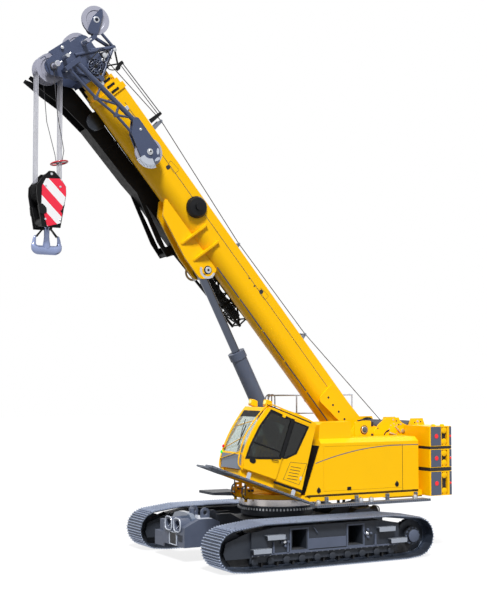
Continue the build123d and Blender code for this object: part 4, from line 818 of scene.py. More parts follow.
# ---- tracks
@dataclass
class Track:
    """One crawler: shoes with three ribs each on two rows of links, and the side frame's trim."""

    side: int
    middle: float = 2.0595  # Y of the track's middle
    shoes: int = 62
    half_shoe: float = 0.4185
    shoe_gap: float = 0.004  # half the gap between two shoes
    rib_top: float = 0.025
    rib_foot: float = 0.014  # half a rib's width at its foot
    rib_crown: float = 0.007  # and at its top
    link_y: float = 0.078  # a row of links, from the track's middle
    link_half: float = 0.02
    circles: tuple[tuple[float, float, float], ...] = (
        (2.425, 0.5, 0.47), (1.71, 0.756, 0.3), (2.1, 0.3, 0.3),
    )
    frame_outer: float = 2.3095

    @property
    def name(self) -> str:
        """The side's name."""
        return "left" if self.side > 0 else "right"

    @property
    def body(self) -> str:
        """The CAD body."""
        return f"{self.name}_crawler"

    def place(self, shape: Shape) -> Shape:
        """Puts a shape drawn for the left side on this side.

        Args:
            shape: the shape on the left.

        Returns:
            The same shape, or its mirror with its faces still outwards.
        """
        if self.side > 0:
            return shape
        points = shape.points * np.array([1.0, -1.0, 1.0])
        return Shape(points, shape.quads[:, ::-1], [cap[::-1] for cap in shape.caps])

    def path(self, inset: float, count: int) -> Array:
        """Evenly spaced points of the belt round the wheels.

        For each direction a the belt touches the circle whose centre . a + radius is largest,
        at centre + radius * a; the points are then spaced evenly along its length.

        Args:
            inset: how far inside the shoes' outside.
            count: number of points.

        Returns:
            (count, 2) points in the side view, anticlockwise.
        """
        places = [(0.025 + s * x, z, r - inset) for s in SIDES for x, z, r in self.circles]
        centre = np.array([p[:2] for p in places])
        radius = np.array([p[2] for p in places])
        a = np.linspace(0, 2 * math.pi, 4001)[:-1]
        ray = np.stack([np.cos(a), np.sin(a)], -1)
        best = np.argmax(ray @ centre.T + radius, axis=1)
        points = centre[best] + radius[best, None] * ray
        loop = np.concatenate([points, points[:1]])
        length = np.concatenate([[0], np.cumsum(np.linalg.norm(np.diff(loop, axis=0), axis=1))])
        at = np.arange(count) * length[-1] / count
        return np.stack([np.interp(at, length, loop[:, k]) for k in (0, 1)], -1)

    def build_belt(self) -> None:
        """The shoes and links: one shoe's shape carried to each chord of the belt."""
        ends = self.path(0.025, self.shoes)
        nxt = np.roll(ends, -1, 0)
        chord = nxt - ends
        pitch = float(np.linalg.norm(chord, axis=1).mean())
        along = chord / np.linalg.norm(chord, axis=1, keepdims=True)
        turns = np.zeros((self.shoes, 3, 3))
        turns[:, 0, 0], turns[:, 2, 0] = -along[:, 0], -along[:, 1]
        turns[:, 1, 1] = 1
        turns[:, 0, 2], turns[:, 2, 2] = along[:, 1], -along[:, 0]
        middle = (ends + nxt) / 2
        shifts = np.stack([SLEW_X + middle[:, 0], np.full(self.shoes, self.middle), middle[:, 1]], -1)
        half = pitch / 2 - self.shoe_gap
        parts = [slab(box(-half, half, -0.02, -0.002), -self.half_shoe, self.half_shoe, PLAN, 0.002)]
        foot, crown = self.rib_foot, self.rib_crown
        ribs = [slab([(rib + foot, -0.003), (rib + crown, self.rib_top), (rib - crown, self.rib_top),
                      (rib - foot, -0.003)],
                     -self.half_shoe, self.half_shoe, PLAN, 0.002)
                for rib in (pitch / 3, 0.0, -pitch / 3)]
        link = rounded(box(-half - 0.012, half + 0.012, -0.074, -0.02), 0.02)
        for y in (-self.link_y, self.link_y):
            parts.append(slab(link, y - self.link_half, y + self.link_half, PLAN, 0.002))
        parts.append(turned([(0.018, -0.108), (0.018, 0.108)], (half, 0, -0.047), ACROSS, 8))
        heads = [(x, y, -0.0225) for x in (-0.055, 0.055) for y in (-0.14, 0.14)]
        parts.append(turned([(0.014, -0.004), (0.014, 0.004)], (0, 0, 0), UPRIGHT, 6).at(np.array(heads)))
        belt = Shape.join(parts).repeat(turns, shifts)
        piece = add_piece(f"{self.name}_shoes_and_chain", self.place(belt), SHOE_STEEL, self.body,
                          25)
        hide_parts(f"{self.name}_track")
        # the ribs go in their own pale finish: a painted highlight along the shoes
        bars = Shape.join(ribs).repeat(turns, shifts)
        add_piece(f"{self.name}_shoe_ribs", self.place(bars), HIGHLIT_RIB_STEEL, self.body, 25)

    def build_trim(self) -> None:
        """Steps, stud clusters, ledges, roller caps and the final drive's bolts."""
        out = self.frame_outer
        steps = []
        for x, z in ((1.44, 0.72), (1.79, 0.44), (-1.54, 0.72), (-1.87, 0.44)):
            steps.append(slab(rounded(box(x - 0.225, x + 0.225, z - 0.045, z + 0.055), 0.012), out + 0.128,
                              out + 0.14))
            steps.append(slab(box(x - 0.232, x + 0.232, z + 0.041, z + 0.058), out + 0.002, out + 0.134))
        add_piece(f"{self.name}_step_treads", self.place(Shape.join(steps)), TREAD, self.body)
        trim, bright = [], []
        for x, z in ((1.16, 0.6), (-1.06, 0.65)):
            bright.append(turned([(0.038, 0), (0.038, 0.018), (0.026, 0.03)], (SLEW_X + x, out, z)))
            for dx, dz in ((0.085, 0), (-0.085, 0), (0, 0.085), (0, -0.085)):
                trim.append(turned([(0.03, 0), (0.03, 0.045), (0.02, 0.052)], (SLEW_X + x + dx, out, z + dz),
                                   ACROSS, 12))
        trim.append(slab(box(-1.93, 1.99, 0.336, 0.372), out - SUNK, out + 0.022))
        trim.append(slab(box(-0.47, 0.55, 0.4, 0.63), out - SUNK, out + 0.01))
        for x in (0.78, -0.73):
            trim.append(frame_band(box(x - 0.245, x + 0.245, 0.375, 0.885), 0.03, out - SUNK, out + 0.012))
        trim.append(tube(bent([(SLEW_X + 0.3, out, 0.72), (SLEW_X + 0.33, out + 0.05, 0.76),
                               (SLEW_X + 0.42, out + 0.05, 0.88), (SLEW_X + 0.44, out, 0.9)], 0.02), 0.009))
        for x in (1.43, 1.06, -1.3):
            trim.append(slab([(x, 0.37), (x + 0.05, 0.37), (x + 0.03, 0.62), (x + 0.01, 0.62)], out - SUNK,
                             out + 0.035))
        guard = [slab([(-2.3, 0.11), (2.42, 0.11), (2.6, 0.33), (-2.5, 0.33)], self.middle - 0.05,
                      self.middle + 0.09)]
        guard += [slab(box(x - 0.02, x + 0.02, 0.075, 0.325), self.middle + 0.085, self.middle + 0.165)
                  for x in np.linspace(-1.55, 1.69, 9)]
        add_piece(f"{self.name}_chain_guides", self.place(Shape.join(guard)), RUBBER, self.body)
        rollers = -1.75 + 3.65 * np.arange(10) / 9
        caps = turned([(0.085, 0), (0.085, 0.012), (0.055, 0.026), (0.028, 0.028)],
                      (SLEW_X, self.middle + 0.2145, 0.2003))
        add_piece(f"{self.name}_roller_caps", self.place(caps.at(along_x(rollers))), GREASED, self.body)
        studs = bolt(0.012, 0.014, (SLEW_X, self.middle + 0.1951, 0.332))
        bright.append(studs.at(along_x(np.linspace(-1.85, 1.95, 26))))
        ring = around(12, 0.182)
        drive = np.array([SLEW_X - 2.4, self.middle, 0.5])  # the sprocket's centre
        trim.append(bolt(0.016, 0.018, drive + (0, 0.185, 0)).at(ring))
        trim.append(turned([(0.148, 0), (0.148, 0.02), (0.12, 0.035)], drive + (0, 0.2295, 0)))
        add_piece(f"{self.name}_frame_fittings", self.place(Shape.join(trim)), SLATE, self.body)
        add_piece(f"{self.name}_frame_studs", self.place(Shape.join(bright)), ZINC, self.body)


# ---- car body
@dataclass
class CarBodyTrim:
    """The ballast castings' rims, covers and side boxes, and the slewing ring's teeth and bolt."""

    nose: float = 2.78
    tube_z: float = 0.83
    middle_x: float = 0.025
    teeth: int = 72  # fewer and larger than the real ring's, so that they show

    @staticmethod
    def block(x: tuple[float, float], y: tuple[float, float], z: tuple[float, float]) -> Shape:
        """An upright block from its x, y and z limits."""
        return slab(box(x[0] - SLEW_X, x[1] - SLEW_X, *z), *y)

    def build(self) -> None:
        """Makes the pieces on the fixed car body."""
        rims, covers, pockets, boxes, tops = [], [], [], [], []
        a = np.arange(28) * 2 * math.pi / 28
        for end in SIDES:
            def at(x: float) -> float:
                """X of a point of the front casting, or its mirror at the rear."""
                return SLEW_X + (x if end > 0 else 2 * self.middle_x - x)
            for y in (0.23, -0.23):
                # a circle squared off: each of its sine and cosine to the power 0.6
                wide, high = (np.sign(w) * np.abs(w) ** 0.6 for w in (np.cos(a), np.sin(a)))
                low = self.tube_z + 0.005
                rim = np.stack([np.full(28, at(self.nose + 0.026)), y + 0.175 * wide, low + 0.155 * high], -1)
                rims.append(tube(rim, 0.016, closed=True))
                for s in SIDES:
                    rims.append(tube([(at(self.nose + 0.005), y - s * 0.08, self.tube_z - 0.09),
                                        (at(self.nose - 0.12), y + s * 0.01, self.tube_z + 0.09)], 0.008, 6))
            rim = [(at(self.nose + 0.004), y, z)
                   for y, z in ((-0.21, 0.37), (0.16, 0.37), (0.16, 0.65), (-0.21, 0.65))]
            rims.append(tube(np.array(rim + rim[:1]), 0.014, 6))
            sheet = [np.array([at(self.nose + d)] * 4) for d in (0.0005, 0.003)]
            pockets.append(rings_to_shape(np.stack([np.stack([x, *np.array(rim).T[1:]], -1)
                                                    for x in sheet[::end]])))
            pockets += [self.block(sorted((at(self.nose + 0.001), at(self.nose + 0.008))), (y, y + 0.03),
                                   (0.47, 0.62))
                        for y in (0.25, 0.31, 0.37, 0.43)]
            boxes += [self.block(sorted((at(2.36), at(2.74))), (-1.13, -0.58), (0.25, 0.59)),
                      self.block(sorted((at(2.38), at(2.64))), (-1.05, -0.58), (0.592, 0.85))]
            tops.append(self.block(sorted((at(2.05), at(2.38))), (-0.56, 0.56), (0.9795, 0.984)))
            cover = [(-0.6, 0.8), (-0.6, 0.95), (-0.5, 1.05), (-0.27, 1.1), (0.02, 1.105), (0.27, 1.07),
                     (0.4, 0.98), (0.42, 0.8)]
            front, back = sorted((at(2.4), at(2.52)))
            y, z = np.array(cover).T
            rings = np.stack([np.stack([np.full(len(y), x), y, z], -1) for x in (back, front)])
            covers.append(rings_to_shape(rings))
        # pale zinc teeth, larger than the ring's own, stand for the highlights on its dark teeth: a painted
        # highlight
        teeth = slab([(0.924, 0), (0.962, 0.004), (0.962, 0.052), (0.924, 0.056)], -0.017, 0.017, PLAN, 0.002)
        turn = np.arange(self.teeth) * 2 * math.pi / self.teeth
        turns = np.zeros((self.teeth, 3, 3))
        turns[:, 0, 0] = turns[:, 1, 1] = np.cos(turn)
        turns[:, 0, 1], turns[:, 1, 0], turns[:, 2, 2] = -np.sin(turn), np.sin(turn), 1
        gear = teeth.repeat(turns, np.broadcast_to([SLEW_X, 0.0, 1.082], (self.teeth, 3)))
        add_piece("ring_teeth_painted_highlight", gear, ZINC, "car_body")
        for name, shapes, finish in (("rims", rims, GREY_PAINT), ("covers", covers, PANEL_BLUE),
                                     ("pockets", pockets, RUBBER), ("side_boxes", boxes, SLATE),
                                     ("top_plates", tops, GREY_PAINT)):
            add_piece(f"casting_{name}", shapes, finish, "car_body")
        # the one bolt of the ring that isn't under the deck
        add_piece("ring_bolts", bolt(0.014, 0.012, (SLEW_X + 0.905, 0, 1.3402), UPRIGHT), ZINC, "upper")


# ---- upper
@dataclass
class Housing:
    """Stripes, latches, seals, dark strips of painted shade, bolts and walkway feet of the slewing upper and
    its doors.
    """

    outer: float = 1.46
    door_front: float = -0.42
    door_rear: float = -2.7
    front_low: float = 0.095
    rear: float = -3.19
    latch: float = 0.014  # how far a latch stands out
    drop_radius: float = 0.055  # of a latch's drop shape

    def drop(self, x: float, z: float) -> Array:
        """A latch's drop shape.

        Args:
            x: the circle's centre along the side.
            z: the circle's centre up the side.

        Returns:
            An arc of the circle, open at the top, and a point above it.
        """
        a = np.radians(np.linspace(140, 400, 18))
        arc = np.stack([x + self.drop_radius * np.cos(a), z + self.drop_radius * np.sin(a)], -1)
        return np.concatenate([arc, [[x, z + 1.55 * self.drop_radius]]])

    def sweep(self, x: Array) -> Array:
        """Height of the side's stripe: 2.585 - 0.0655 * (x + 2.55)^2 ahead of x = -2.55, level behind."""
        return 2.585 - 0.0655 * np.maximum(x + 2.55, 0) ** 2

    def stripe(self, start: float, end: float, sign: int) -> Shape:
        """A length of the stripe.

        Args:
            start: where it starts along the side.
            end: where it ends.
            sign: the side that it is on.

        Returns:
            A thin strip about the sweep's line.
        """
        x = np.linspace(start, end, 24)
        z = self.sweep(x)
        strip = [np.stack([x, z + d], -1) for d in (0.01, -0.01)]
        return band(strip[0], strip[1], sign * (self.outer - 0.0002), sign * (self.outer + 0.0018))

    def build(self) -> None:
        """Makes the pieces of both sides."""
        for sign, name, door in ((1, "left", "left_door"), (-1, "right", "right_door")):
            out = sign * self.outer
            fixed = [self.stripe(-0.195, self.door_front + 0.006, sign),
                     self.stripe(self.door_rear - 0.006, self.rear + 0.004, sign)]
            if sign < 0:
                fixed = fixed[1:]
            add_piece(f"{name}_hood_stripe", fixed, STRIPE_BLUE, "upper")
            moving = self.stripe(self.door_front - 0.007, self.door_rear + 0.007, sign)
            add_piece(f"{name}_door_stripe", moving, STRIPE_BLUE, door)
            black = [slab(rounded(box(-1.19, -1.08, 1.565, 1.64), 0.012), out, out + sign * self.latch)]
            black.append(slab(self.drop(-2.53, 1.64), out, out + sign * self.latch))
            add_piece(f"{name}_door_latches", black, MOULDED, door)
            fixed = [slab(self.drop(-0.28 if sign > 0 else -3.05, 1.585), out, out + sign * self.latch)]
            # dark strip along the deck under the hood's lower edge: partly a seam line, partly painted shade
            # under the hood
            fixed.append(slab(box(self.rear + 0.01, self.front_low - 0.08, 1.44, 1.466), sign * 1.4385,
                              sign * 1.4425))
            fixed.append(slab(box(self.door_rear - 0.012, self.door_rear - 0.001, 1.482, 2.6), out,
                              out + sign * 0.0016, SIDE, FILM_EDGE))
            fixed.append(slab(box(self.rear + 0.01, self.front_low - 0.03, 1.474, 1.49), out,
                              out + sign * 0.004))
            # dark sheet in the gap between the cab and the hood's front: painted shade
            if sign > 0:
                fixed.append(slab([(0.082, 1.5), (-0.324, 2.628), (-0.314, 2.628), (0.092, 1.5)], 0.72,
                                  1.425))
            add_piece(f"{name}_hood_seals_and_shade_strips", fixed, MOULDED, "upper")
            studs = [bolt(0.012, 0.008, SIDE.place(x, out, z), (0, sign, 0)) for x in (-2.86, -3.03)
                     for z in (1.86, 2.42)]
            add_piece(f"{name}_hood_bolts", studs, YELLOW, "upper")
            foot = [(0.062, 0), (0.062, 0.045), (0.052, 0.078), (0.026, 0.098), (0.008, 0.104)]
            mounts = [turned(foot, SIDE.place(x, sign * 1.53, 1.281), UPRIGHT)
                      for x in (-0.22, -1.42, -1.72, -3.02)]
            add_piece(f"{name}_walkway_feet", mounts, ZINC, "upper")
            edge = [slab(box(-3.29, -0.035, 1.225, 1.29), sign * 1.785, sign * 1.7995)]
            add_piece(f"{name}_walkway_edge", edge, SLATE, "upper")


@dataclass
class Counterweight:
    """Side panels with prism reflectors on each slab, lifting bollard caps, and dark plates in the slabs'
    gaps and the niches as painted shade.
    """

    side: float = 1.709
    slabs: tuple[tuple[float, float], ...] = ((1.332, 1.93), (2.02, 2.47), (2.54, 3.03))  # low and high

    def build(self) -> None:
        """Makes the pieces of both sides."""
        panels, lenses, caps, shade_plates = [], [], [], []
        # dark plates in the gaps between the slabs: painted shade
        for low, high in ((1.936, 2.014), (2.474, 2.536)):
            shade_plates.append(slab(box(-4.028, -3.364, low, high), -self.side + 0.006, self.side - 0.006))
        for sign in SIDES:
            y = sign * self.side
            for low, high in self.slabs:
                panels += [slab(box(a, b, low + 0.012, high - 0.012), y - sign * GLUED, y + sign * 0.003)
                           for a, b in ((-3.7, -3.385), (-4.022, -3.955))]
                lenses += [slab(disc(x, (low + high) / 2, radius), y + sign * 0.0025, y + sign * proud)
                           for x, radius, proud in ((-3.555, 0.056, 0.012), (-3.988, 0.03, 0.008))]
                # a dark plate on each niche's floor: painted shade in the niche
                shade_plates.append(slab(box(-3.886, -3.724, low + 0.034, high - 0.034), y - sign * 0.0695,
                                  y - sign * 0.064))
                for z in (low + 0.105, high - 0.105):
                    profile = [(0.05, -0.066), (0.05, -0.04), (0.078, -0.03), (0.078, -0.01), (0.06, -0.002)]
                    caps.append(turned(profile, SIDE.place(-3.805, y, z), (0, sign, 0)))
            for x in (-3.55, -3.82):
                caps.append(turned([(0.055, 0), (0.055, 0.03), (0.035, 0.05)],
                                   SIDE.place(x, sign * 1.6, 3.029), UPRIGHT, 20))
        for name, shapes, finish in (("panels", panels, PANEL_GREY), ("reflectors", lenses, RED_LENS),
                                     ("gap_and_niche_shade", shade_plates, RUBBER), ("bollard_caps", caps, YELLOW)):
            add_piece(f"ballast_{name}", shapes, finish, "upper")


@dataclass
class Winch:
    """The rope on a winch's drum, as turns laid side by side, and its gearbox's bolts."""

    name: str
    x: float
    z: float
    pack_radius: float = 0.215
    half: float = 0.5
    turns: int = 34
    ripple: float = 0.008  # how far a turn of rope stands out of its valley

    def build(self) -> None:
        """Turns the wound rope: pack radius + ripple * |sin|, half a wave to each turn of rope."""
        along = np.linspace(-self.half, self.half, self.turns * 4 + 1)
        phase = np.pi * self.turns * (along + self.half) / (2 * self.half)
        radius = self.pack_radius + self.ripple * np.abs(np.sin(phase))
        profile = np.stack([radius, along], -1)
        profile = np.concatenate([[[0.176, -self.half]], profile, [[0.176, self.half]]])
        add_piece(f"{self.name}_winch_rope", turned(profile, SIDE.place(self.x, 0, self.z), ACROSS, 36),
                  DARK_ROPE, "upper")
        ring = around(8, 0.13)
        hub = [turned([(0.16, 0), (0.16, 0.02), (0.09, 0.035)], SIDE.place(self.x, 0.62, self.z))]
        add_piece(f"{self.name}_winch_hub", hub, YELLOW, "upper")
        add_piece(f"{self.name}_winch_bolts", bolt(0.014, 0.016, SIDE.place(self.x, 0.64, self.z)).at(ring),
                  ZINC, "upper")


@dataclass
class CheekTrim:
    """The plates on the winches' cheeks with the boom foot's pin end and the winch's levers."""

    cheek: float = 0.619
    face: float = 0.64
    pin: tuple[float, float] = (-2.142, 2.932)
    pin_end: float = 0.66

    def build(self) -> None:
        """Makes the pieces of both cheeks."""
        plates, dark, bright, blue = [], [], [], []
        x, z = self.pin
        foot = [(-1.86, 2.735), (-2.355, 2.735), (-2.355, 3.15), (-2.22, 3.165), (-1.86, 3.13)]
        hump = [(-2.44, 2.735), (-2.44, 2.88), (-2.569, 3.05), (-2.69, 3.14), (-2.807, 3.216), (-3.19, 3.216),
                (-3.308, 3.086), (-3.442, 3.031), (-3.52, 2.867), (-3.52, 2.735)]
        arch = [(-2.739, 2.808), (-2.817, 2.894), (-2.931, 2.934), (-3.049, 2.914), (-3.127, 2.818)]
        under = [(a, b - 0.045) for a, b in arch[::-1]]
        for sign in SIDES:
            face, end = sign * self.face, sign * self.pin_end
            plates += [slab(rounded(line, 0.03), sign * self.cheek, face) for line in (foot, hump)]
            dark.append(slab(disc(x, z, 0.112), face, face + sign * 0.01))
            bright.append(slab(disc(x, z, 0.082), end - sign * 0.004, end + sign * 0.01))
            blue.append(bolt(0.048, 0.03, SIDE.place(x, end + sign * 0.01, z), (0, sign, 0)))
            dark += [slab(disc(a, b, 0.02), face, face + sign * 0.002)
                     for a, b in ((-3.127, 3.135), (-3.204, 3.04), (-2.56, 2.96))]
            dark += [slab(box(a, b, c, d), sign * self.cheek, sign * (self.cheek + 0.006), SIDE, 0.001)
                     for a, b, c, d in ((-2.436, -2.36, 2.74, 2.83), (-2.436, -2.36, 3.01, 3.12))]
            dark.append(slab(arch + under, face, face + sign * 0.003, SIDE, 0.0006))
            dark.append(tube(SIDE.place([-1.98, -2.12, -2.36], sign * 0.6, [3.155, 3.18, 3.172]), 0.02))
            bright += [bolt(0.016, 0.014, SIDE.place(a, face, b), (0, sign, 0))
                       for a, b in ((-3.035, 3.167), (-3.268, 3.05))]
            bright.append(tube(SIDE.place([-3.074, -3.229], face + sign * 0.026, [2.997, 2.851]), 0.016))
            bright.append(turned([(0.048, 0), (0.048, 0.028), (0.026, 0.036)],
                                 SIDE.place(-3.319, face, 2.881), (0, sign, 0), 20))
            bright.append(tube(SIDE.place([-2.9, -3.05, -3.12], face + sign * 0.02, [2.84, 2.8, 2.77]),
                               0.022))
            face = sign * (self.cheek + 0.001)
            bright.append(bolt(0.022, 0.016, SIDE.place(-3.81, face, 3.11), (0, sign, 0)))
            dark += [slab(disc(a, b, 0.02), face, face + sign * 0.003)
                     for a, b in ((-3.72, 3.08), (-3.91, 3.1))]
        add_piece("cheek_plates", plates, YELLOW, "upper")
        add_piece("cheek_slots_and_holes", dark, RUBBER, "upper")
        add_piece("foot_pin_discs", bright, ZINC, "upper")
        add_piece("foot_pin_bolts", blue, SLATE, "upper")


@dataclass
class Prow:
    """The deck's drum, the prow's valves and pipes, the right front step and the roof's grab loops."""

    drum: float = 0.932
    deck_low: float = 1.341

    def build(self) -> None:
        """Makes the pieces ahead of and under the deck."""
        drum = turned([(self.drum - 0.03, 0), (self.drum, 0.012), (self.drum, 0.118)],
                      (SLEW_X, 0, self.deck_low), UPRIGHT, 72)
        add_piece("deck_drum", drum, YELLOW, "upper")
        ring = around(36, self.drum - 0.045, UPRIGHT)
        studs = turned([(0.012, 0), (0.012, -0.02)], (SLEW_X, 0, self.deck_low + 0.002), UPRIGHT, 6).at(ring)
        add_piece("drum_studs", studs, ZINC, "upper")
        posts, steel = [], []
        for y, shift in ((0.3, 0.0), (-0.33, -0.06)):
            posts += [slab(box(a + shift, b + shift, c, d), y - w, y + w, SIDE, 0.004)
                      for a, b, c, d, w in ((0.86, 0.93, 1.46, 1.74, 0.03), (1.0, 1.06, 1.28, 1.7, 0.024),
                                            (0.84, 1.1, 1.5, 1.6, 0.06), (0.9, 1.05, 1.64, 1.7, 0.05),
                                            (0.93, 1.02, 1.38, 1.5, 0.045))]
            posts.append(tube(SIDE.place([1.1 + shift, 1.14 + shift, 0.96 + shift], y, [1.56, 1.46, 1.36]),
                              0.02))
            steel.append(tube(SIDE.place([1.08 + shift] * 2, y + 0.05, [1.44, 1.76]), 0.016))
            steel += [turned([(0.026, 0), (0.026, 0.05), (0.018, 0.06)],
                             SIDE.place(a + shift, y + 0.058, 1.55), ACROSS, 16)
                      for a in (0.9, 0.99)]
            for k, sag in enumerate((0.05, 0.09)):
                path = SIDE.place([0.95 + shift, 1.12 + shift, 1.16 + shift, 1.04 + shift, 0.9 + shift],
                                  y + 0.03 * k, [1.68, 1.66, 1.52 - sag, 1.36 - sag / 2, 1.44])
                steel.append(tube(bent(path, 0.09), 0.011))
        add_piece("prow_valves", posts, YELLOW, "upper")
        add_piece("prow_pipes", steel, DARK_STEEL, "upper")
        step = [slab([(0.46, 1.29), (1.26, 1.34), (1.26, 1.405), (0.46, 1.4)], -1.72, -0.95, SIDE, 0.006)]
        step += [tube([SIDE.place(-0.1, y, 1.395), SIDE.place(0.5, y, 1.37)], 0.026) for y in (-1.05, -1.35)]
        add_piece("right_front_step", step, GREASED, "upper")
        loops = [tube(bent(SIDE.place([-0.41, -0.41, -0.49, -0.6, -0.61], y, [2.78, 3.72, 3.8, 3.78, 2.78]),
                           0.07),
                      0.017)
                 for y in (-1.28, -1.12)]
        add_piece("roof_grab_loops", loops, GREY_PAINT, "upper")


# ---- cab
@dataclass
class CabTrim:
    """Gaskets, louvres, rails, lamps, lining, wiper, visor and the driver's seat."""

    outer: float = 1.46
    inner: float = 0.38
    door_face: float = 1.505

    def build_door(self) -> None:
        """What rides on the sliding door."""
        glass = [(0.93, 1.6), (1.52, 1.62), (1.68, 1.18), (1.765, 0.7), (1.775, 0.42), (1.459, 0.51),
                 (0.93, 0.68)]
        face = self.door_face
        dark = [frame_band(inset_outline(np.array(glass[::-1]), -0.03), 0.05, face - SUNK, face + 0.006, CAB),
                slab([(0.93, 0.795), (1.745, 0.785), (1.74, 0.82), (0.93, 0.83)], face - 0.012, face + 0.004,
                     CAB),
                slab([(0.862, 0.7), (0.935, 0.69), (0.935, 1.64), (0.862, 1.636)], face - SUNK, face + 0.007,
                     CAB),
                slab(oval(1.603, 0.4, 0.085, 0.06), face - SUNK, face + 0.012, CAB)]
        add_piece("door_gaskets", dark, MOULDED, "cab_door")
        roller = slab(rounded([(1.116, 1.64), (1.216, 1.642), (1.206, 1.58), (1.126, 1.58)], 0.015),
                      face - 0.002, face + 0.022, CAB)
        add_piece("door_roller_bracket", roller, YELLOW, "cab_door")
        out = face + 0.03
        grip = CAB.place([0.96, 0.97, 1.12, 1.13], [face, out, out, face], [0.6, 0.6, 0.57, 0.57])
        add_piece("door_handle", tube(bent(grip, 0.02), 0.009), MOULDED, "cab_door")

    def build_shell(self) -> None:
        """What rides on the cab itself."""
        out = self.outer
        quarter = [(0.417, 1.6), (0.525, 0.916), (0.744, 0.729), (0.83, 0.7), (0.83, 1.6)]
        dark = [frame_band(inset_outline(np.array(quarter), -0.012), 0.03, out - SUNK, out + 0.0035, CAB),
                slab([(0.826, 0.7), (0.858, 0.69), (0.858, 1.64), (0.826, 1.64)], out - SUNK, out + 0.0035,
                     CAB)]
        dark.append(slab([(0.098, 0.1), (0.89, 0.088), (0.89, 0.138), (0.098, 0.15)], out + 0.0002,
                         out + 0.045, CAB))
        dark.append(slab([(0.375, 1.7), (1.64, 1.712), (1.64, 1.735), (0.375, 1.73)], out - 0.028,
                         out + 0.003, CAB))
        add_piece("cab_rails_and_seals", dark, MOULDED, "cab")
        add_piece("quarter_window_film", slab(quarter, out - 0.0145, out - 0.0125, CAB, 0.0005), TINTED,
                  "cab")
        slats, slits = [], []
        for k in range(5):
            t = k / 4
            z = 0.31 + 0.285 * t
            slats.append(slab([(0.3, z + 0.045), (0.56, z), (0.56, z + 0.022), (0.3, z + 0.067)], out - SUNK,
                              out + 0.003, CAB, 0.001))
            # the dark films between the slats are painted shade in the louvre's openings
            slits.append(slab([(0.295, z + 0.031), (0.565, z - 0.014), (0.565, z), (0.295, z + 0.045)],
                              out - SUNK, out + FILM, CAB, FILM_EDGE))
        panel = frame_band([(0.205, 0.258), (0.665, 0.251), (0.612, 0.682), (0.168, 0.788)], 0.008,
                           out - SUNK, out + 0.002, CAB)
        add_piece("cab_louvres", slats, YELLOW, "cab")
        add_piece("cab_panel_seams_and_louvre_shade", [panel] + slits, RUBBER, "cab")
        add_piece("cab_panel_handle",
                  slab(rounded(box(0.195, 0.245, 0.375, 0.455), 0.012), out - SUNK, out + 0.003, CAB, 0.001),
                  ZINC, "cab")
        # roof lamps: yellow boxes with round clear covers
        axis = CAB.place(1, 0, 0) - CAB.place(0, 0, 0)
        cups, covers = [], []
        for y in (0.56, 1.25):
            cups.append(slab(rounded([(1.42, 1.725), (1.6, 1.7), (1.625, 1.86), (1.47, 1.86)], 0.03, 4),
                             y - 0.085, y + 0.085, CAB, 0.012))
            cups.append(tube([CAB.place(1.5, y, 1.66), CAB.place(1.5, y, 1.73)], 0.02))
            covers.append(turned([(0.052, 0.0), (0.052, 0.014), (0.034, 0.022)], CAB.place(1.61, y, 1.785),
                                 axis))
        add_piece("roof_lamp_cups", cups, YELLOW, "cab")
        add_piece("roof_lamp_covers", covers, LAMP_LENS, "cab")
        near = CAB.place([1.6, 1.67, 1.82, 1.94, 1.935, 1.89, 1.8], 1.405,
                         [1.7, 1.65, 1.28, 0.86, 0.5, 0.23, 0.17])
        far = CAB.place([1.55, 1.61, 1.75, 1.86, 1.855, 1.81, 1.74], 0.425,
                        [1.68, 1.63, 1.12, 0.54, 0.3, 0.12, 0.1])
        bars = [tube(bent(line, 0.14), 0.017, 10) for line in (near, far)]
        for k in (2, 3, 4):
            bars.append(tube([near[k], far[k]], 0.011))
        add_piece("windscreen_bars", bars, YELLOW, "cab")
        rail = tube(bent(CAB.place([0.43, 0.44, 1.6, 1.62], out - 0.02, [1.71, 1.772, 1.772, 1.71]), 0.05, 4),
                    0.014)
        add_piece("roof_edge_rail", rail, YELLOW, "cab")
        panel = [CAB.place(np.array([1.857, 1.78, 1.792, 1.869]), y, np.array([0.45, 0.13, 0.127, 0.447]))
                 for y in (1.39, 0.45)]
        add_piece("lower_front_panel", rings_to_shape(np.stack(panel)), PANEL_BLUE, "cab")
        straps = [slab(rounded(box(x - 0.05, x + 0.05, z - 0.09, z + 0.09), 0.02),
                       1.592, 1.606, CAB) for x, z in ((1.633, 0.022), (0.387, 0.006))]
        add_piece("walkway_straps", straps, GREY_PAINT, "cab")
        wide = (self.inner + 0.055, self.outer - 0.055)
        lining = [slab(outline, *reach, CAB) for outline, reach in (
            ([(0.15, 0.225), (0.165, 0.225), (0.24, 0.9), (0.225, 0.9)], wide),
            ([(0.29, 1.69), (0.7, 1.725), (0.7, 1.715), (0.29, 1.68)], wide),
            ([(0.16, 0.222), (1.7, 0.19), (1.7, 0.202), (0.16, 0.234)], wide),
            ([(1.64, 0.2), (1.7, 0.2), (1.795, 0.47), (1.7, 0.47)], wide),
            ([(0.25, 0.24), (1.7, 0.2), (1.7, 0.5), (0.48, 0.6), (0.28, 0.9)],
             (self.inner + 0.046, self.inner + 0.056)),
            ([(0.25, 0.6), (0.3, 0.6), (0.345, 1.6), (0.3, 1.64)], (self.inner + 0.07, self.outer - 0.09)),
            ([(1.3, 1.66), (1.61, 1.6), (1.65, 1.48), (1.56, 1.56)], (self.inner + 0.06, self.outer - 0.08)),
        )]
        add_piece("cab_lining", lining, MOULDED, "cab")
        small = [turned([(0.035, 0), (0.035, 0.02), (0.02, 0.03)], CAB.place(1.862, 0.425, z), axis)
                 for z in (0.6, 0.46)]
        add_piece("red_marker_lamp", small[0], RED_LENS, "cab")
        add_piece("green_marker_lamp", small[1], GREEN_LENS, "cab")
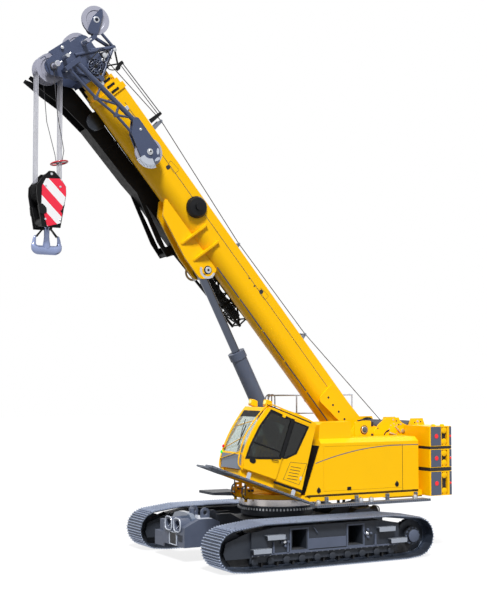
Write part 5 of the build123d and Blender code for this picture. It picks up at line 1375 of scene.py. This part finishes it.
        wiper = [tube(CAB.place([1.8, 1.838, 1.842], [0.95, 1.02, 1.08], [1.3, 1.05, 0.75]), 0.009, 6),
                 tube(CAB.place([1.815, 1.85], [1.09, 1.06], [1.15, 0.66]), 0.013, 6)]
        add_piece("wiper", wiper, RUBBER, "cab")
        visor = slab([(1.6, 1.44), (1.7, 1.4), (1.66, 1.56), (1.585, 1.6)], self.inner + 0.09,
                     self.outer - 0.09, CAB)
        add_piece("sun_visor", visor, MOULDED, "cab")

    def build_seat(self) -> None:
        """A padded seat and back, the base, arm consoles with levers and a screen."""
        def cushion(low: tuple[float, float, float], high: tuple[float, float, float], tilt: float) -> Shape:
            """A crowned pad.

            Args:
                low: its lowest corner in the cab's view.
                high: its highest corner.
                tilt: degrees that its front is raised.

            Returns:
                A ball whose sines and cosines are raised to powers below one, which squares it off.
            """
            n = 24
            u, v = np.meshgrid(np.linspace(-math.pi, math.pi, 2 * n, endpoint=False),
                               np.linspace(-math.pi / 2, math.pi / 2, n), indexing="xy")
            def lift(w: Array, power: float) -> Array:
                """Sign-keeping power, which squares a circle off."""
                return np.sign(w) * np.abs(w) ** power
            x = lift(np.cos(v), 0.55) * lift(np.cos(u), 0.45)
            y = lift(np.cos(v), 0.55) * lift(np.sin(u), 0.45)
            z = lift(np.sin(v), 0.75)
            centre, half = (np.array(high) + low) / 2, (np.array(high) - low) / 2
            c, s = math.cos(math.radians(tilt)), math.sin(math.radians(tilt))
            px, py, pz = x * half[0], y * half[1], z * half[2]
            points = CAB.place(centre[0] + px * c - pz * s, centre[1] + py, centre[2] + px * s + pz * c)
            return rings_to_shape(points, capped=True)
        seat = cushion((0.575, 0.705, 0.345), (1.07, 1.135, 0.455), 3)
        back = cushion((0.49, 0.715, 0.47), (0.61, 1.125, 1.13), 0)
        for name, shape in (("seat_cushion", seat), ("seat_back", back)):
            pad = add_piece(name, shape, CLOTH, "cab", 60)
            if name == "seat_cushion":
                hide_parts("cab_seat")
        base = [slab(rounded([(0.62, 0.215), (0.9, 0.215), (0.94, 0.342), (0.6, 0.342)], 0.02), 0.77, 1.07,
                     CAB, 0.006)]
        for y in (0.69, 1.15):
            base.append(slab(rounded([(0.62, 0.48), (1.02, 0.5), (1.06, 0.6), (0.98, 0.64), (0.62, 0.58)],
                                     0.03, 4),
                             y - 0.04, y + 0.04, CAB, 0.008))
            base.append(tube(CAB.place([1.0, 1.01, 1.0], y, [0.62, 0.68, 0.73]), 0.01))
            base.append(turned([(0.006, 0), (0.022, 0.02), (0.024, 0.05), (0.012, 0.08)],
                               CAB.place(1.0, y, 0.72), UPRIGHT, 16))
        base.append(slab(rounded(box(1.43, 1.46, 0.8, 1.02), 0.01), 1.12, 1.36, CAB, 0.004))
        base.append(tube(CAB.place([1.5, 1.45], [1.09, 1.2], [0.66, 0.86]), 0.012))
        add_piece("seat_base_and_levers", base, MOULDED, "cab")

    def build(self) -> None:
        """Makes every piece of the cab."""
        self.build_door()
        self.build_shell()
        self.build_seat()


# ---- boom
@dataclass
class BoomTrim:
    """Dashes, hole covers, seams, hatches, slide pads, the rod's pin ends and the stowed jib's rail."""

    half: float = 0.345
    belly: float = -0.185
    foot_face: float = 0.38

    def build(self) -> None:
        """Makes the boom's pieces."""
        middle, half_turn, first_end, length, pitch = math.radians(54.5), 0.045, 5.507, 0.917, 0.975
        angles = np.linspace(middle - half_turn, middle + half_turn, 4)
        dashes = []
        for k in range(5):
            end = first_end - pitch * k
            u = np.linspace(end - length, end, 2)
            for sign in SIDES:
                loop = np.stack([BOOM.place(u, sign * r * math.cos(a), self.belly - r * math.sin(a))
                                 for r, order in ((self.half + 0.0016, 1), (self.half - 0.0004, -1))
                                 for a in angles[::order]], 1)
                dashes.append(rings_to_shape(loop if sign > 0 else loop[:, ::-1]))
        add_piece("boom_dashes", dashes, STRIPE_BLUE, "boom_base")
        dots = [turned([(r, 0), (r, FILM)], BOOM.place(u, self.half, v), ACROSS, 20)
                for u, v, r in ((4.816, -0.008, 0.022), (4.584, -0.024, 0.022))]
        dots += [turned([(0.03, 0), (0.03, FILM)], BOOM.place(u, self.foot_face, v), ACROSS, 20)
                 for u, v in ((1.182, -0.156), (0.954, -0.175), (0.718, -0.154), (0.463, -0.144))]
        for u, v in ((4.36, 0.045), (8.12, -0.05)):
            dots.append(slab(rounded(box(u - 0.05, u + 0.05, v - 0.06, v + 0.05), 0.04, 4),
                             self.half, self.half + 0.0018, BOOM, FILM_EDGE))
        add_piece("boom_hole_covers", dots, RUBBER, "boom_base")
        seam = [slab([(1.4, 0.012), (9.9, 0.012), (9.9, 0.0), (1.4, 0.0)], sign * self.half,
                     sign * (self.half + 0.003), BOOM, 0.0006)
                for sign in SIDES]
        add_piece("boom_weld_seams", seam, DARK_STEEL, "boom_base")
        for level, u in (("low", 4.3), ("high", 8.06)):
            hatch = rounded([(u - 0.16, -0.02), (u + 0.1, -0.02), (u + 0.16, 0.1), (u - 0.16, 0.14)], 0.05, 4)
            edge = frame_band(hatch, 0.006, self.half, self.half + FILM, BOOM)
            add_piece(f"boom_hatch_{level}", edge, RUBBER, "boom_base")
        sensor = slab(rounded(box(9.722, 9.822, -0.08, 0.0), 0.012), self.half, self.half + 0.028, BOOM)
        add_piece("boom_sensor_box", sensor, GREY_PAINT, "boom_base")
        self.build_pads()
        self.build_jib()

    def build_pads(self) -> None:
        """Black slide pads bolted to each section's collar, in steps, and the rod pin's ends."""
        front, step, collar_length, pad_middle = 10.18, 0.042, 0.14, -0.03
        bodies = ("boom_base", "section_2", "section_3", "section_4")
        for k, body in enumerate(bodies):
            start, out = front + k * collar_length, 0.377 - k * step
            pad = rounded(box(start + 0.045, start + 0.1, pad_middle - 0.11, pad_middle + 0.11), 0.012)
            pads = [slab(pad, sign * (out - 0.004), sign * (out + 0.012), BOOM) for sign in SIDES]
            add_piece(f"slide_pads_{k + 1}", pads, MOULDED, body)
        u, v = 5.66, -0.8
        dark, bright = [], []
        lip = sector(u, v, 0.205, 0.15, 150, 330, 20)
        for sign in SIDES:
            dark.append(slab(disc(u, v, 0.104), sign * 0.399, sign * 0.41, BOOM))
            bright.append(slab(disc(u, v, 0.078), sign * 0.428, sign * 0.438, BOOM))
            bright.append(slab(lip, sign * 0.399, sign * 0.404, BOOM, 0.001))
            dark.append(slab(disc(u, v, 0.03), sign * 0.437, sign * 0.443, BOOM))
        add_piece("rod_pin_rings", dark, RUBBER, "boom_base")
        add_piece("rod_pin_ends", bright, ZINC, "boom_base")

    def build_jib(self) -> None:
        """The stowed jib's rail beside the boom, its hose reel and its lattice's inner tubes."""
        rail = [slab([(6.3, -0.35), (10.8, -0.33), (10.8, -0.06), (6.3, -0.06)], -0.56, -0.52, BOOM)]
        u = np.array([4.0, 6.35])
        for y in (-0.62, -0.71, -0.8):
            for v0, v1 in ((-0.36, -0.42), (-0.43, -0.52), (-0.5, -0.61)):
                rail.append(tube(BOOM.place(u, y, [v0, v1]), 0.02))
        for at in np.arange(4.1, 6.3, 0.16):
            low = -0.5 - 0.11 * (at - 4.0) / 2.35
            rail.append(tube(BOOM.place([at, at + 0.05, at + 0.1], [-0.62, -0.71, -0.8], [-0.36, low, -0.38]),
                             0.012, 6))
        add_piece("jib_rail_and_tubes", rail, BLACK, "boom_base")
        ribs = [(0.215 - 0.022 * (k % 2), -0.045 + 0.015 * k) for k in range(8)]
        ribs = [(0.06, -0.05), *ribs, (0.05, 0.07)]
        add_piece("jib_hose_reel", turned(ribs, BOOM.place(9.9, -0.455, -0.5)), DARK_STEEL, "boom_base")


@dataclass
class HeadTrim:
    """Pins, bolts, guards and the cable reel of the boom's head and of the nose folded beside it."""

    cheek: float = 0.38
    axle_end: float = 0.645
    nose_face: float = 0.695
    nose_axle: tuple[float, float] = (8.71, -0.37)
    reel: tuple[float, float] = (10.936, -0.102)  # the cable reel's centre

    def build_head(self) -> None:
        """What is on the head itself."""
        bright = [collar(BOOM, u, v, y0, self.axle_end, r) for u, v, y0, r in
                  ((11.48, -0.91, 0.6, 0.066), (11.5, 0.02, 0.38, 0.055), (11.49, -0.6, 0.38, 0.05))]
        for (u0, v0), (u1, v1) in (((11.47, -0.93), (11.462, -0.8)), ((11.5, 0.0), (11.473, 0.11)),
                                   ((11.49, -0.62), (11.5, -0.5))):
            bright.append(tube(BOOM.place([u0, u1], 0.622, [v0, v1]), 0.017))
        for u, v, r in ((11.278, -0.44, 0.03), (11.248, -0.74, 0.026), (11.013, 0.27, 0.04),
                        (10.96, 0.165, 0.03), (10.545, -0.2, 0.034), (10.975, 0.56, 0.03),
                        (11.7, -0.48, 0.026)):
            for sign in SIDES:
                bright.append(bolt(r, 0.022, BOOM.place(u, sign * self.cheek, v), (0, sign, 0)))
        bright.append(turned([(0.072, 0), (0.072, 0.02), (0.06, 0.026)], BOOM.place(11.75, 0.262, 0.67)))
        add_piece("head_pins_and_bolts", bright, ZINC, "section_5")
        square = slab(box(11.722, 11.778, 0.642, 0.698), 0.286, 0.292, BOOM, 0.001)
        (u, v), reach = self.reel, np.array([0.05, 0.17])
        hub = turned([(0.055, 0), (0.055, 0.04), (0.03, 0.05)], BOOM.place(u, self.cheek, v))
        spokes = [tube(BOOM.place(u + reach * math.cos(a), self.cheek + 0.045, v + reach * math.sin(a)),
                       0.007, 6)
                  for a in np.arange(14) * math.pi / 7]
        for r, y in ((0.175, 0.045), (0.175, 0.01), (0.12, 0.05)):
            a = np.arange(28) * math.pi / 14
            spokes.append(tube(BOOM.place(u + r * np.cos(a), self.cheek + y, v + r * np.sin(a)), 0.009, 6,
                               closed=True))
        add_piece("head_reel_spokes", spokes, HEAD_SLATE, "section_5")
        back = turned([(0.178, 0), (0.178, 0.006), (0.1, 0.012)], BOOM.place(u, self.cheek, v))
        hooks = [slab([(10.56, 0.3), (10.64, 0.3), (10.68, 0.42), (10.62, 0.46), (10.56, 0.38)], 0.35, 0.385,
                      BOOM),
                 slab(box(10.6, 10.68, 0.57, 0.67), 0.07, 0.15, BOOM),
                 slab([(9.13, 0.345), (9.24, 0.345), (9.22, 0.715), (9.15, 0.715)], 0.145, 0.16, BOOM)]
        hoses = [tube(bent(BOOM.place(u, y, v), 0.1), 0.012)
                 for u, y, v in (([10.92, 10.8, 10.74, 10.88, 11.05], [0.43, 0.44, 0.43, 0.42, 0.4],
                                  [-0.28, -0.36, -0.1, 0.14, 0.2]),
                                 ([11.08, 11.14, 11.2, 11.06, 10.86], [0.42, 0.43, 0.43, 0.42, 0.4],
                                  [-0.2, -0.02, 0.26, 0.38, 0.34]),
                                 ([10.9, 10.78, 10.66, 10.6], [0.41, 0.42, 0.41, 0.39],
                                  [0.3, 0.1, 0.16, 0.3]))]
        hoses.append(tube(BOOM.place([10.98, 10.6], [0.345, 0.365], [0.57, 0.37]), 0.022))
        hoses.append(tube(BOOM.place([10.64, 10.8], 0.11, [0.62, 0.25]), 0.018))
        add_piece("head_reel_and_hoses", [square, hub, back] + hooks[:2] + hoses, MOULDED, "section_5")
        add_piece("guide_bracket", hooks[2], MOULDED, "boom_base")
        guard = [(11.796, -0.787), (11.763, -0.207), (11.618, -0.223), (11.662, -0.747)]
        slate = [slab(guard, sign * 0.285, sign * 0.315, BOOM) for sign in SIDES]
        slate.append(tube(bent(BOOM.place([11.775, 11.769, 11.4], 0.41, [-1.09, -0.963, -1.08]), 0.03, 3),
                          0.012))
        slate.append(tube(BOOM.place([11.43, 11.08], 0.3, [0.56, 0.6]), 0.034, 12))
        fork = [(11.829, 0.937), (11.859, 0.647), (11.689, 0.34), (11.585, 0.343), (11.467, 0.481),
                (11.745, 0.868)]
        slate += [slab(rounded(fork, 0.03), y, y + 0.006, BOOM, 0.002) for y in (0.2705, 0.153)]
        add_piece("head_guards", slate, HEAD_SLATE, "section_5")
        rods = [tube(BOOM.place([10.66, 9.16], 0.125, [0.645, 0.705]), 0.012),
                tube(BOOM.place([10.64, 9.2], 0.095, [0.595, 0.655]), 0.01)]
        add_piece("head_stay_rods", rods, DARK_STEEL, "section_5")

    def build_nose(self) -> None:
        """What is on the folded nose's outer face."""
        face, (u, v) = self.nose_face, self.nose_axle
        bright = [bolt(0.05, 0.045, BOOM.place(u, face, v)),
                  bolt(0.022, 0.02, BOOM.place(9.237, face, -0.232))]
        marker = turned([(0.022, 0.045), (0.022, 0.047)], BOOM.place(u, face, v))
        add_piece("nose_bolt_mark", marker, RUBBER, "section_5")
        add_piece("nose_bolts", bright, ZINC, "section_5")
        dial = sector(u, v, 0.385, 0.16, 196, 278, 24)
        add_piece("boom_angle_dial", slab(dial, face, face + 0.006, BOOM, 0.001), GREY_PAINT, "section_5")
        marks = []
        for a in np.radians(np.arange(200, 277, 6)):
            ray, across = np.array([math.cos(a), math.sin(a)]), np.array([-math.sin(a), math.cos(a)]) * 0.004
            ends = [np.array([u, v]) + r * ray + w * across
                    for r, w in ((0.3, -1), (0.37, -1), (0.37, 1), (0.3, 1))]
            marks.append(slab(ends, face + 0.006, face + 0.0072, BOOM, 0.0003))
        add_piece("boom_angle_marks", marks, RUBBER, "section_5")
        cuts = [slab(oval(*hole), face, face + 0.002, BOOM, 0.0005)
                for hole in ((8.6, -0.2, 0.075, 0.034, 40), (8.47, -0.33, 0.075, 0.034, 95))]
        add_piece("nose_cut_outs", cuts, GREY_PAINT, "section_5")

    def build(self) -> None:
        """Makes the head's and the nose's pieces."""
        self.build_head()
        self.build_nose()


@dataclass
class HoistRope:
    """The rope from the winch over the guides to the head."""

    radius: float = 0.011
    low_share: float = 0.2  # of the first span: what stays with the upper when the boom luffs

    def build(self) -> None:
        """Makes the taut run in three spans: at the winch, over the base section and at the head."""
        start = SIDE.place(-3.05, 0.05, 3.145)
        guides = [BOOM.place(u, 0.05, v) for u, v in ((2.71, 0.493), (5.56, 0.443), (9.03, 0.643))]
        split = start + (guides[0] - start) * self.low_share
        add_piece("hoist_rope_low", tube([start, split], self.radius), DARK_ROPE, "upper")
        add_piece("hoist_rope_boom", tube([split, *guides], self.radius), DARK_ROPE, "boom_base")
        top = BOOM.place(11.5, 0.07, 0.3)
        add_piece("hoist_rope_head", tube([guides[2], top], self.radius), DARK_ROPE, "section_5")


# ---- hook
@dataclass
class HookTrim:
    """The double hook and its latches, the block's pins and bolts, and the limit weight's ring."""

    x: float = 4.8093
    block_low: float = 7.56
    cover: float = 0.314
    ring_x: float = 4.533
    ring_z: float = 9.049
    hook_low: float = 6.96
    end: tuple[float, float] = (0.185, 0.165)
    end_radius: float = 0.165
    throat: tuple[float, float] = (0.16, 0.3)
    throat_radius: float = 0.092
    slimness: float = 0.74  # the bar's thickness across the hook, to that along it
    ring_normal: Vec3 = (0.168, -0.091, 0.982)  # the limit weight's ring hangs a little aslant
    ring_radius: float = 0.19

    def forging(self) -> list[Shape]:
        """The double hook: one bar from tip to tip and a turned shank.

        Returns:
            The bar's middle runs halfway between the round end's arc and the throat's circle, and its
            radius is half the gap between them; the horns taper to their tips. Across the hook the bar
            is slimmer.
        """
        turn = np.radians(np.linspace(-90, 25, 16))
        outer = np.array(self.end) + self.end_radius * np.stack([np.cos(turn), np.sin(turn)], -1)
        ray = outer - np.array(self.throat)
        inner = np.array(self.throat) + self.throat_radius * ray / np.linalg.norm(ray, axis=1, keepdims=True)
        middle, thick = (outer + inner) / 2, np.linalg.norm(outer - inner, axis=1) / 2
        horn = np.array([(0.288, 0.3, 0.043), (0.282, 0.35, 0.037), (0.27, 0.398, 0.031),
                         (0.264, 0.422, 0.02), (0.262, 0.431, 0.005)])
        foot = np.array([(0.0, 0.104, 0.104), (0.06, 0.104, 0.104), (0.12, 0.104, 0.104)])
        half = np.concatenate([foot, np.column_stack([middle, thick]), horn])
        full = np.concatenate([half[:0:-1] * (-1, 1, 1), half])
        path = np.stack([full[:, 0], np.zeros(len(full)), full[:, 1]], -1)
        bar = tube(path, full[:, 2], 20)
        reach = self.end[0] + self.end_radius - 0.0002
        bar.points = np.clip(bar.points * (1, self.slimness, 1), (-reach, -1, 0), (reach, 1, 1))
        bar.points += (self.x, 0, self.hook_low)
        shank = [(0.02, 0.1), (0.08, 0.13), (0.086, 0.22), (0.072, 0.31), (0.062, 0.39), (0.062, 0.64)]
        return [bar, turned(shank, (self.x, 0, self.hook_low), UPRIGHT, 24)]

    def build(self) -> None:
        """Makes the hook's pieces."""
        view = View((self.x, 0.0, 0.0), 0.0)
        latches = [slab([(s * 0.06, self.block_low), (s * 0.095, self.block_low), (s * 0.245, 7.385),
                         (s * 0.222, 7.35)],
                        -0.03, 0.03, view)
                   for s in SIDES]
        for s in SIDES:
            latches.append(slab(rounded([(0.3, 8.054), (0.214, 8.06), (0.116, 7.967), (0.115, 7.87),
                                         (0.172, 7.828), (0.273, 7.835)],
                                        0.03),
                                s * 0.3, s * 0.328, view))
            latches.append(slab([(-0.303, 8.072), (-0.278, 7.97), (-0.261, 7.846), (-0.199, 7.927),
                                 (-0.234, 7.942), (-0.268, 8.045)],
                                s * 0.3, s * 0.328, view))
        add_piece("hook_latches", latches, MOULDED, "hook")
        eyes = [slab(disc(0.0, 8.735, 0.03), s * 0.296, s * 0.303, view) for s in SIDES]
        add_piece("block_lug_pins", eyes, ZINC, "hook")
        hook = add_piece("forged_hook", self.forging(), HOOK_PAINT, "hook", 50.0)
        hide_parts("ramshorn_hook")
        normal = np.array(self.ring_normal)
        across = np.array([0.0, 1.0, 0.0]) - normal * normal[1]
        across /= np.linalg.norm(across)
        along = np.cross(normal, across)
        middle = np.array([self.ring_x, 0.0, self.ring_z])
        turn = np.arange(40)[:, None] * math.pi / 20
        ring = middle + self.ring_radius * (np.cos(turn) * across + np.sin(turn) * along)
        add_piece("limit_ring_cover", tube(ring, 0.021, 12, closed=True), LIMITER, "hook")
        cross = [tube([middle - self.ring_radius * d, middle + self.ring_radius * d], 0.01)
                 for d in (across, along)]
        add_piece("limit_ring_cross", cross, MOULDED, "hook")
        heads = [bolt(0.016, 0.014, view.place(a, s * self.cover, z), (0, s, 0))
                 for a in (-0.2, 0.14) for z in (7.72, 8.46) for s in SIDES]
        add_piece("block_cover_bolts", heads, ZINC, "hook")


# ---- studio
@dataclass
class Studio:
    """The floor, the light and the camera."""

    place: Vec3 = (13.504, 24.92, 4.281)
    yaw: float = -118.8
    pitch: float = 3.459
    lens: float = 69.43
    sensor: float = 36.0
    far: float = 400.0
    floor_reach: float = 90.0

    @staticmethod
    def seen_rays(tree: bpy.types.NodeTree) -> bpy.types.NodeSocket:
        """A socket that is 1 for camera, glossy and transmission rays, and 0 for the light's own.

        Args:
            tree: the node tree to add it to.

        Returns:
            The largest of the three.
        """
        ray = add_node(tree, "LightPath")
        seen = ray.outputs["Is Camera Ray"]
        for kind in ("Is Glossy Ray", "Is Transmission Ray"):
            seen = add_node(tree, "Math", {0: seen, 1: ray.outputs[kind]}, operation="MAXIMUM").outputs[0]
        return seen

    def build_camera(self) -> None:
        """A long lens, a little above the tracks, looking slightly up."""
        data = bpy.data.cameras.new("camera")
        camera = bpy.data.objects.new("camera", data)
        data.lens, data.sensor_width, data.clip_end = self.lens, self.sensor, self.far
        yaw, pitch = math.radians(self.yaw), math.radians(self.pitch)
        look = Vector((math.cos(yaw) * math.cos(pitch), math.sin(yaw) * math.cos(pitch), math.sin(pitch)))
        camera.location = self.place
        camera.rotation_euler = look.to_track_quat("-Z", "Y").to_euler()
        bpy.context.scene.collection.objects.link(camera)
        bpy.context.scene.camera = camera

    def build_floor(self) -> None:
        """A pale floor that is white to the camera except where the object shades it."""
        mesh = bpy.data.meshes.new("floor")
        reach = self.floor_reach
        corners = [(x, y, 0) for x, y in box(-reach, reach, -reach, reach)]
        mesh.from_pydata(corners, [], [(0, 1, 2, 3)])
        floor = bpy.data.objects.new("floor", mesh)
        paint = bpy.data.materials.new("studio_floor")
        paint.use_nodes = True
        tree = paint.node_tree
        tree.nodes.clear()
        seen = self.seen_rays(tree)
        lift = add_node(tree, "Math", {0: seen, 1: 0.82}, operation="MULTIPLY")
        shader = add_node(tree, "BsdfPrincipled",
                          {"Base Color": (0.16, 0.16, 0.165, 1), "Roughness": 0.9,
                           "Emission Color": (1, 1, 1, 1), "Emission Strength": lift.outputs[0]})
        shader.inputs["Specular IOR Level"].default_value = 0.1
        add_node(tree, "OutputMaterial", {"Surface": shader.outputs[0]})
        mesh.materials.append(paint)
        bpy.context.scene.collection.objects.link(floor)

    def build_light(self) -> None:
        """A white room with a soft sun ahead of the left side and a weak one behind."""
        world = bpy.data.worlds.new("room")
        bpy.context.scene.world = world
        world.use_nodes = True
        tree = world.node_tree
        tree.nodes.clear()
        seen = self.seen_rays(tree)
        strength = add_node(tree, "MapRange", {"Value": seen, "To Min": 0.36, "To Max": 1.0})
        room = add_node(tree, "Background", {"Color": (1, 1, 1, 1), "Strength": strength.outputs[0]})
        add_node(tree, "OutputWorld", {"Surface": room.outputs[0]})
        for name, power, spread, toward in (("sun_main", 4.0, 12.0, (-0.3, -0.55, -0.78)),
                                            ("sun_back", 0.6, 40.0, (0.8, 0.5, -0.5))):
            data = bpy.data.lights.new(name, "SUN")
            data.energy, data.angle = power, math.radians(spread)
            lamp = bpy.data.objects.new(name, data)
            lamp.rotation_euler = Vector(toward).to_track_quat("-Z", "Y").to_euler()
            bpy.context.scene.collection.objects.link(lamp)
        bpy.context.scene.view_settings.view_transform = "Standard"

    def build(self) -> None:
        """Makes the whole studio."""
        self.build_camera()
        self.build_floor()
        self.build_light()


def main() -> None:
    """Builds the crane's looks in order and the studio round it."""
    logging.basicConfig(level=logging.INFO, format="%(name)s: %(message)s")
    dress_nodes()
    for side in SIDES:
        track = Track(side)
        track.build_belt()
        track.build_trim()
    CarBodyTrim().build()
    Housing().build()
    Counterweight().build()
    Winch("main", -3.05, 2.93).build()
    Winch("auxiliary", -3.8, 2.9).build()
    CheekTrim().build()
    Prow().build()
    CabTrim().build()
    BoomTrim().build()
    HeadTrim().build()
    HoistRope().build()
    HookTrim().build()
    Studio().build()


if __name__ == "__main__":
    main()
